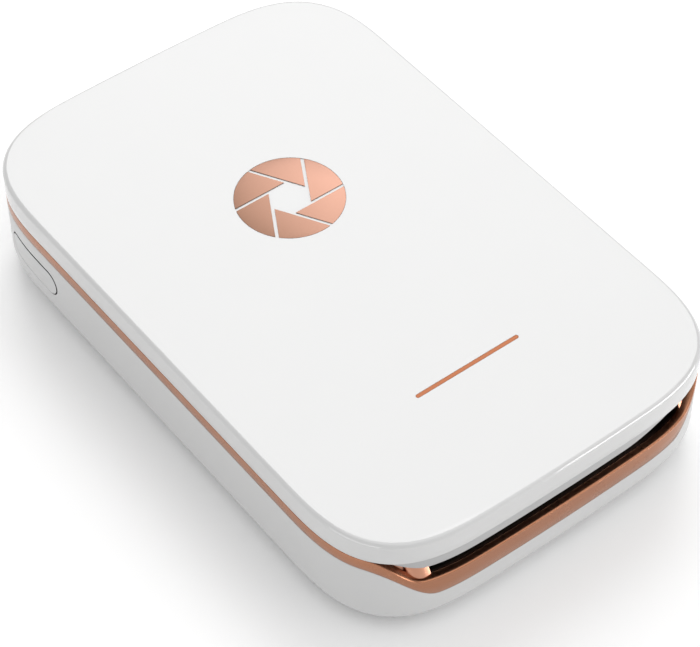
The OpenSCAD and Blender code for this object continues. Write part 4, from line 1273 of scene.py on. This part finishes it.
@dataclass
class TrimBezel(SubAssembly):
    """The copper band with its lip, ramp and slot end walls.

    A crest row gives the distance inside the face, and the drop at the sides and at the lip.
    """

    thickness: float = 1.4
    edge_r: float = 0.13
    crest_arcs: tuple[Arc, ...] = ((0.0, 50.0, 0.12, 4), (50.0, 90.0, 0.55, 6))
    crest_back: tuple[Point, ...] = ((0.7, 0.0, 0.02), (1.2, 0.0, 0.11), (1.4, 0.2, 0.19))
    slot_left: float = 25.2
    slot_right: float = 27.2
    cheek_end: float = 30.2
    column_end: float = 28.7
    wall_inset: float = 0.6
    recess_inset: float = 0.9
    cheek_top: float = 16.35
    skirt_gap: float = 0.25
    lean: float = 30.0
    throat: float = -53.4
    throat_depth: float = 2.1
    back: float = -51.0

    def build(self) -> None:
        """Build the band, the ramp and the end walls."""
        self.band()
        ramp = settle(self.strip("slot_ramp", -self.slot_left, self.slot_right, self.ramp_section), 24)
        # The ramp's coating darkens into the slot as painted shade.
        self.place(ramp, Finish.SLOT, "copper_trim", ["trim_bezel"])
        self.end_wall("slot_column", -1, self.slot_left, self.column_end, self.wall_inset)
        self.end_wall("slot_recess", -1, self.column_end - 0.3, self.cheek_end, self.recess_inset)
        self.end_wall("slot_wall_right", 1, self.slot_right, self.cheek_end, self.wall_inset)

    def band(self) -> None:
        """The band with its softened lower edge and its crest."""
        form, r = self.form, self.edge_r
        rings = [form.ring(inset, lambda p, a=rise: form.band_low(p) + a)
                 for inset, rise in ((0.12, 0.0), (0.035, 0.035), (0.0, 0.12))]
        rings.append(form.ring(0.0, lambda p: (form.band_low(p) + form.band_top(p)) / 2))
        crest = [(inset, r - math.sqrt(r * r - (r - inset) ** 2) if inset < r else 0.0, drop)
                 for inset, drop in form.arcs(*self.crest_arcs)]
        for inset, side, lip in (*crest, *self.crest_back):
            rings.append(form.ring(
                inset, lambda p, a=side, b=lip: form.band_top(p) - a - (b - a) * form.lip_share(p)))
        rings.append(form.ring(self.thickness, form.band_low))
        band = settle(loft("trim_band", rings, closed=True), 40)
        self.place(band, Finish.COPPER, "copper_trim", ["trim_bezel"])

    def strip(self, name: str, low_x: float, high_x: float, section: Callable[[float], Ring]) -> Object:
        """A strip along the front with a section at each station across.

        Args:
            name: Name of the piece.
            low_x: Lowest X.
            high_x: Highest X.
            section: The closed section at a station.

        Returns:
            The strip.
        """
        count = max(2, round((high_x - low_x) / self.form.spacing))
        inner = [low_x + (high_x - low_x) * i / count for i in range(1, count)]
        ends = [low_x, low_x + 0.05, low_x + 0.18, high_x - 0.18, high_x - 0.05, high_x]
        return loft(name, [section(x) for x in sorted(ends + inner)])

    def ramp_section(self, x: float) -> Ring:
        """The ramp that falls from the lip into the slot, with the guide's ledge.

        Args:
            x: The station across.

        Returns:
            The closed section.
        """
        form, throat = self.form, self.throat
        y = form.front_y(x, self.thickness - 0.15)
        foot, low = form.lip_low + 0.7, form.lip_top - self.throat_depth
        falls = ((y, 0.17), (y + 0.2, 0.2), (y + 0.45, 0.28), (throat - 0.3, 1.22), (throat, 1.34))
        return [(x, y, foot), *((x, at, form.lip_top - drop) for at, drop in falls), (x, throat, low),
                (x, throat + 1.6, low), (x, throat + 1.6, low - 1.0), (x, y + 1.2, foot)]

    @staticmethod
    def fade(distance: float, run: float) -> float:
        """A share that falls from 1 at a place to 0 a run away."""
        return (1 - min(1.0, abs(distance) / run)) ** 2

    def end_wall(self, name: str, side: int, start: float, end: float, inset: float) -> None:
        """A copper wall behind the band that follows its curve, in a lighter copper with painted light.

        Args:
            name: Name of the piece.
            side: -1 for the left of the slot, 1 for the right.
            start: Distance of the end nearest the slot from the middle.
            end: Distance of the far end from the middle.
            inset: Distance of its face inside the outer face.
        """
        form = self.form
        base = form.lip_top - self.throat_depth

        def section(x: float) -> Ring:
            """The wall at one station.

            Args:
                x: The station across.

            Returns:
                The closed section.
            """
            y = form.front_y(x, inset)
            outer = (x, form.front_y(x, 0.0))
            low = max(form.band_low(outer) + 0.35, base)
            top = min(form.skirt_edge(outer) - self.skirt_gap, self.cheek_top)
            face = y + (0.6 * self.fade(abs(x) - start, 2.6) + 0.15 * self.fade(abs(x) - end, 0.15))
            lean = max(0.1, top - form.lip_top) * math.tan(math.radians(self.lean))
            foot = min(max(form.lip_top, low + 0.04), top - 0.2)
            root = max(form.front_y(x, form.wall + 0.1), y) if low > base + 0.4 else face
            return [(x, root, base), (x, root, max(low, base + 0.1)),
                    (x, face, max(low + 0.02, base + 0.2)), (x, face, foot),
                    (x, face + lean, top - 0.12), (x, face + lean + 0.12, top),
                    (x, self.back, top), (x, self.back, base)]

        low_x, high_x = sorted((side * start, side * end))
        wall = settle(self.strip(name, low_x, high_x, section), 24)
        # The end walls take the lighter copper: painted light in the skirt's shade.
        self.place(wall, Finish.CUP, "copper_trim", ["trim_bezel"])


@dataclass
class BaseCase(SubAssembly):
    """The white base with its wall openings, bosses, feet and power button.

    A round hole is its X and its radius; a post's or boss's size is its radius and its height.
    """

    seam: float = 0.02
    foot_r: float = 4.0
    foot_h: float = 0.7
    foot_recess: float = 0.3
    feet: tuple[Flat, ...] = ((22.0, 46.0), (22.0, -46.0))
    posts: tuple[Flat, ...] = ((29.9, -5.3), (29.5, 46.0))
    post_size: Flat = (3.3, 4.2)
    post_bore: float = 1.1
    screw_recess: float = 2.2
    frame_bosses: tuple[Flat, ...] = ((23.5, -47.9), (23.5, -31.5))
    frame_boss_size: Flat = (2.5, 2.1)
    board_bosses: tuple[Flat, ...] = ((22.5, -1.5), (22.5, 50.0))
    board_boss_size: Flat = (2.0, 7.4)
    sunk: float = 0.1
    rib_xs: Flat = (19.0, 20.0)
    rib_ys: Flat = (5.5, 31.0)
    rib_l: float = 10.0
    rib_h: float = 3.0
    port_half: float = 4.25
    port_z: float = 10.2
    port_back: float = 54.0
    round_holes: tuple[Flat, ...] = ((10.0, 0.7), (-11.0, 0.95), (-15.5, 0.95))
    button_y: float = 38.4
    button_z: float = 10.4
    button_l: float = 15.0
    button_h: float = 4.8
    button_gap: float = 0.2
    pill_hole_xs: Flat = (-39.0, -33.0)
    stem_x: float = -34.45
    stem_z: float = 11.6
    stem_size: Flat = (1.1, 1.9)
    cap_trim: float = 0.06
    cap_shift: Flat = (0.2, -0.24)
    cap_rim: float = 0.03

    def build(self) -> None:
        """Build every piece of the base."""
        self.shell()
        self.bosses()
        self.rubber_feet()
        self.power_button()

    def cutters(self) -> list[Object]:
        """The solids of the openings in the wall and the recesses below.

        Returns:
            The solids.
        """
        gap, low = self.button_gap, self.form.base_z
        pill = pill_outline((self.button_y, self.button_z), (self.button_l - self.button_h) / 2,
                            self.button_h / 2 + gap, 24)
        solids = [loft("pill_hole", [[(x, y, z) for y, z in pill] for x in self.pill_hole_xs]),
                  block("port_hole", (-self.port_half, self.port_back, self.port_z - 0.4),
                        (self.port_half, self.port_back + 8, self.port_z + 3.0))]
        for x, r in self.round_holes:
            solids.append(disc("round_hole", (x, self.port_back + 4, self.port_z + 1), r, 8, vertices=32,
                               turn=(90, 0, 0)))
        recesses = [("foot_recess", at, low + self.foot_recess - 2.0, self.foot_r + 0.04, 4.0, 72)
                    for at in self.feet]
        recesses += [("screw_recess", at, low - 0.4, self.screw_recess, 6.0, 48) for at in self.posts]
        for name, (x, y), level, r, depth, sides in recesses:
            solids += [disc(name, (side * x, y, level), r, depth, vertices=sides) for side in (1, -1)]
        return solids

    def shell(self) -> None:
        """The shell with a large rounding below and the openings in its wall."""
        form = self.form
        wall_low = form.base_z + form.base_round
        floor, inner_r = form.base_z + form.wall, form.base_round - form.wall

        def edge(p: Flat) -> float:
            """The shell's upper edge."""
            return form.band_low(p) - self.seam

        rings = form.rounded(form.base_round, 14, 0.0, form.base_z)
        rings += [form.ring(0.0, lambda p, f=share: wall_low + (edge(p) - 0.12 - wall_low) * f)
                  for share in (0.15, 0.3, 0.45, 0.6, 0.75, 0.9)]
        rim = ((0.0, 0.1), (0.03, 0.03), (0.1, 0.0), (form.wall - 0.1, 0.0), (form.wall, 0.1))
        rings += [form.ring(inset, lambda p, d=drop: edge(p) - d) for inset, drop in rim]
        rings.append(form.ring(form.wall, lambda p: (form.band_low(p) + floor + inner_r) / 2))
        rings += form.rounded(inner_r, 8, form.wall, floor)[::-1]
        shell = settle(carve(loft("base_shell", rings), self.cutters()))
        self.place(shell, Finish.WHITE_BASE, "white_shell", ["base_case"])

    def boss(self, at: Flat, size: Flat, bevel: float, sides: int) -> Object:
        """A boss that stands in the base's floor.

        Args:
            at: Its place.
            size: Its radius and height.
            bevel: Rounding of its rims.
            sides: Sides of the circle.

        Returns:
            The boss.
        """
        floor = self.form.base_z + self.form.wall
        return disc("boss", (*at, floor + (size[1] / 2 - self.sunk)), *size, bevel, sides)

    def bosses(self) -> None:
        """The bosses and ribs that stand on the base's floor."""
        floor = self.form.base_z + self.form.wall
        solids: list[Object] = []
        for at in self.posts:
            bore = disc("bore", (*at, floor + 2), self.post_bore, 8, vertices=24)
            solids.append(carve(self.boss(at, self.post_size, 0.15, 48), [bore]))
        solids += [self.boss(at, self.frame_boss_size, 0.12, 40) for at in self.frame_bosses]
        solids += [self.boss(at, self.board_boss_size, 0.12, 40) for at in self.board_bosses]
        left, right = self.rib_xs
        for y in self.rib_ys:
            solids.append(block("rib", (left, y, floor - self.sunk),
                                (right, y + self.rib_l, floor + self.rib_h), 0.15))
        bosses = settle(mirrored(join("base_bosses", solids)))
        self.place(bosses, Finish.WHITE_BASE, "white_shell", ["base_case"])

    def rubber_feet(self) -> None:
        """Four round pads under the base."""
        pads = [disc("pad", (*at, self.foot_h / 2), self.foot_r, self.foot_h, 0.18) for at in self.feet]
        feet = settle(mirrored(join("foot_pads", pads)))
        self.place(feet, Finish.FOOT_RUBBER, "rubber_feet", ["rubber_feet"])

    def button_loop(self, shrink: float, inset: float, grow: float = 0.0) -> Ring:
        """The button's outline, laid on the wall's own curve.

        Args:
            shrink: Narrowing all round.
            inset: Distance inside the outer face.
            grow: Widening all round.

        Returns:
            The outline's points.
        """
        near, far = self.button_y - self.button_l, self.button_y + self.button_l
        side = (p for p in self.form.outline() if p[0] < 0 and near < p[1] < far)
        wall = sorted(side, key=lambda p: p[1])
        centre = (self.button_y + self.cap_shift[0], self.button_z + self.cap_shift[1])
        size = self.button_h / 2 - self.cap_trim - shrink + grow
        ring: Ring = []
        for y, z in pill_outline(centre, (self.button_l - self.button_h) / 2, size, 32, 16):
            a, b = next((a, b) for a, b in zip(wall, wall[1:]) if a[1] <= y <= b[1])
            ring.append((a[0] + (b[0] - a[0]) * (y - a[1]) / (b[1] - a[1]) + inset, y, z))
        return ring

    def power_button(self) -> None:
        """The pill button, cut from the wall's own curve, with a softened rim, and a black carrier whose
        face in the gaps round the cap is painted shade.
        """
        radius, rim = self.button_h / 2 - self.cap_trim, self.cap_rim
        rings = [self.button_loop(radius * f, 0.02 + 0.02 * f) for f in (0.995, 0.9, 0.7, 0.5, 0.3)]
        for k in range(5):
            turn = math.pi / 2 * k / 4
            rings.append(self.button_loop(rim * (1 - math.sin(turn)), 0.02 + rim * (1 - math.cos(turn))))
        rings += [self.button_loop(shrink, 0.055) for shrink in (0.0, 0.3)]
        cap = settle(loft("power_button_cap", rings), 50)
        # The black carrier fills the gaps round the cap with painted shade.
        stations = ((0.25, 0.05), (0.0, 0.05), (0.0, 0.4), (0.0, 1.6), (0.0, 1.6, 0.6), (0.0, 2.35, 0.6),
                    (0.0, 2.4, 0.55))
        shade_carrier = settle(loft("power_button_carrier", [self.button_loop(*row) for row in stations]))
        stem = settle(disc("power_button_stem", (self.stem_x, self.button_y, self.stem_z),
                           *self.stem_size, 0.05, 32, (0, 90, 0)))
        for piece, finish in ((cap, Finish.WHITE_BASE), (shade_carrier, Finish.BLACK), (stem, Finish.BLACK)):
            self.place(piece, finish, "white_shell", ["power_button"], body="button")


@dataclass
class InnerWorks(SubAssembly):
    """The carried-over nodes: finishes and softened edges."""

    finishes: dict[Finish, str] = field(default_factory=lambda: {
        Finish.BLACK: "pressure_plate switch_plunger reset_plunger paper_tray exit_guide head_lead "
                      "paper_sensor",
        Finish.GREY: "power_switch reset_switch frame_left frame_right",
        Finish.STEEL: "usb_port case_screws frame_screws motor_can motor_screws radio_module "
                      "board_screws",
        Finish.CLEAR: "status_light_pipe charge_light_pipe",
        Finish.TURNED: "platen_shaft pick_shaft head_pivot_pins head_springs motor_shaft gear_posts",
        Finish.RUBBER: "platen_rubber pick_tyres separation_pad",
        Finish.ACETAL: "platen_gear_right platen_gear_left pick_gear pick_idler compound_gear_1 "
                       "compound_gear_2",
        Finish.IVORY: "platen_bushes pick_bushes board_connectors",
        Finish.CERAMIC: "head_board",
        Finish.ALLOY: "head_heatsink",
        Finish.BRASS: "motor_pinion",
        Finish.BOARD: "main_board",
        Finish.CHIP: "board_chips",
        Finish.FOIL: "battery",
        Finish.RED_WIRE: "battery_lead",
        Finish.BLUE_WIRE: "motor_lead"})
    soft_edges: dict[float, str] = field(default_factory=lambda: {
        0.05: "main_board",
        0.08: "usb_port head_heatsink board_chips",
        0.1: "frame_left frame_right exit_guide board_connectors reset_switch separation_pad "
             "paper_sensor",
        0.12: "pressure_plate paper_tray radio_module power_switch",
        0.5: "battery"})

    def build(self) -> None:
        """Dress each carried-over node and soften the boxy ones."""
        nodes = {o.name: o for o in bpy.data.objects if o.type == "MESH"}
        for finish, names in self.finishes.items():
            for name in names.split():
                dress(nodes[name], finish)
                LOG.info("%s dressed in %s", name, finish.value.name)
        for size, names in self.soft_edges.items():
            for name in names.split():
                self.soften_edges(nodes[name], size)

    def soften_edges(self, node: Object, size: float) -> None:
        """Merge a node's flat faces and round its sharp edges, by modifiers alone.

        Args:
            node: The node.
            size: Width of the rounding.
        """
        weld = node.modifiers.new("weld", "WELD")
        weld.merge_threshold = SAME_PLACE
        flat = node.modifiers.new("flats", "DECIMATE")
        flat.decimate_type = "DISSOLVE"
        flat.angle_limit = math.radians(1.0)
        soft = node.modifiers.new("soft edges", "BEVEL")
        soft.width = size * MM
        soft.segments = 2
        soft.limit_method = "ANGLE"
        soft.angle_limit = math.radians(50)
        soft.use_clamp_overlap = True


# Studio


@dataclass(frozen=True)
class Lamp:
    """A soft rectangular light: its place, target, width and height in metres and its power in watts."""

    name: str
    place: Point
    target: Point
    size: Flat
    power: float

    def hang(self) -> None:
        """Add the light to the scene, facing its target."""
        data = bpy.data.lights.new(self.name, "AREA")
        data.shape = "RECTANGLE"
        data.size, data.size_y = self.size
        data.energy = self.power
        obj = bpy.data.objects.new(self.name, data)
        bpy.context.scene.collection.objects.link(obj)
        way = (Vector(self.place) - Vector(self.target)).normalized()
        turn = way.to_track_quat("Z", "Y").to_matrix().to_4x4()
        obj.matrix_world = Matrix.Translation(Vector(self.place)) @ turn


@dataclass
class Studio:
    """Floor, soft lights and camera, in metres."""

    azimuth: float = -37.671
    elevation: float = 48.645
    place: Point = (-0.168520, -0.220774, 0.318926)
    focal_px: float = 2436.2
    frame_w: int = 700
    sensor: float = 36.0
    floor_size: float = 6.0
    floor_z: float = -0.00002
    surround: float = 0.66
    lamps: tuple[Lamp, ...] = (
        Lamp("rear softbox", (0.46, 0.60, 0.82), (0, 0, 0), (0.72, 0.72), 3.8),
        Lamp("overhead", (0.1, -0.35, 1.3), (0, 0, 0), (1.8, 1.8), 6.3),
        Lamp("left strip", (-0.765, -0.234, 0.06), (0, 0, 0.03), (0.7, 0.12), 0.6),
        Lamp("right strip", (0.556, -0.576, 0.06), (0, 0, 0.03), (0.58, 0.12), 1.6))

    def build(self) -> None:
        """Build the camera, the floor and the lights."""
        self.camera()
        self.floor()
        self.lights()

    def camera(self) -> None:
        """The camera at the object's front left, looking down."""
        a, e = math.radians(self.azimuth), math.radians(self.elevation)
        back = Vector((math.sin(a) * math.cos(e), -math.cos(a) * math.cos(e), math.sin(e)))
        right = Vector((math.cos(a), math.sin(a), 0.0))
        data = bpy.data.cameras.new("camera")
        data.sensor_fit = "HORIZONTAL"
        data.sensor_width = self.sensor
        data.lens = self.focal_px / self.frame_w * self.sensor
        data.clip_start, data.clip_end = 0.01, 20.0
        obj = bpy.data.objects.new("camera", data)
        bpy.context.scene.collection.objects.link(obj)
        turn = Matrix((right, back.cross(right), back)).transposed()
        obj.matrix_world = Matrix.Translation(Vector(self.place)) @ turn.to_4x4()
        bpy.context.scene.camera = obj

    def floor(self) -> None:
        """A wide pale floor just below the feet."""
        deselect()
        bpy.ops.mesh.primitive_plane_add(size=self.floor_size, location=(0, 0, self.floor_z))
        floor = bpy.context.object
        floor.name = "studio_floor"
        dress(floor, Finish.FLOOR)

    def lights(self) -> None:
        """A softbox that the top mirrors, a large light overhead, two low strips and a pale surround."""
        scene = bpy.context.scene
        scene.view_settings.view_transform = "Standard"
        world = bpy.data.worlds.new("pale surround")
        world.use_nodes = True
        background = world.node_tree.nodes["Background"]
        background.inputs["Color"].default_value = (1.0, 1.0, 1.0, 1.0)
        background.inputs["Strength"].default_value = self.surround
        scene.world = world
        for lamp in self.lamps:
            lamp.hang()


def main() -> None:
    """Build the printer's pieces and the studio."""
    logging.basicConfig(level=logging.INFO, format="%(name)s: %(message)s")
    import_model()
    form = CaseForm()
    for assembly in (TopCover(form), TrimBezel(form), BaseCase(form), InnerWorks(form)):
        LOG.info("building %s", type(assembly).__name__)
        assembly.build()
    Studio().build()
    deselect()


if __name__ == "__main__":
    main()
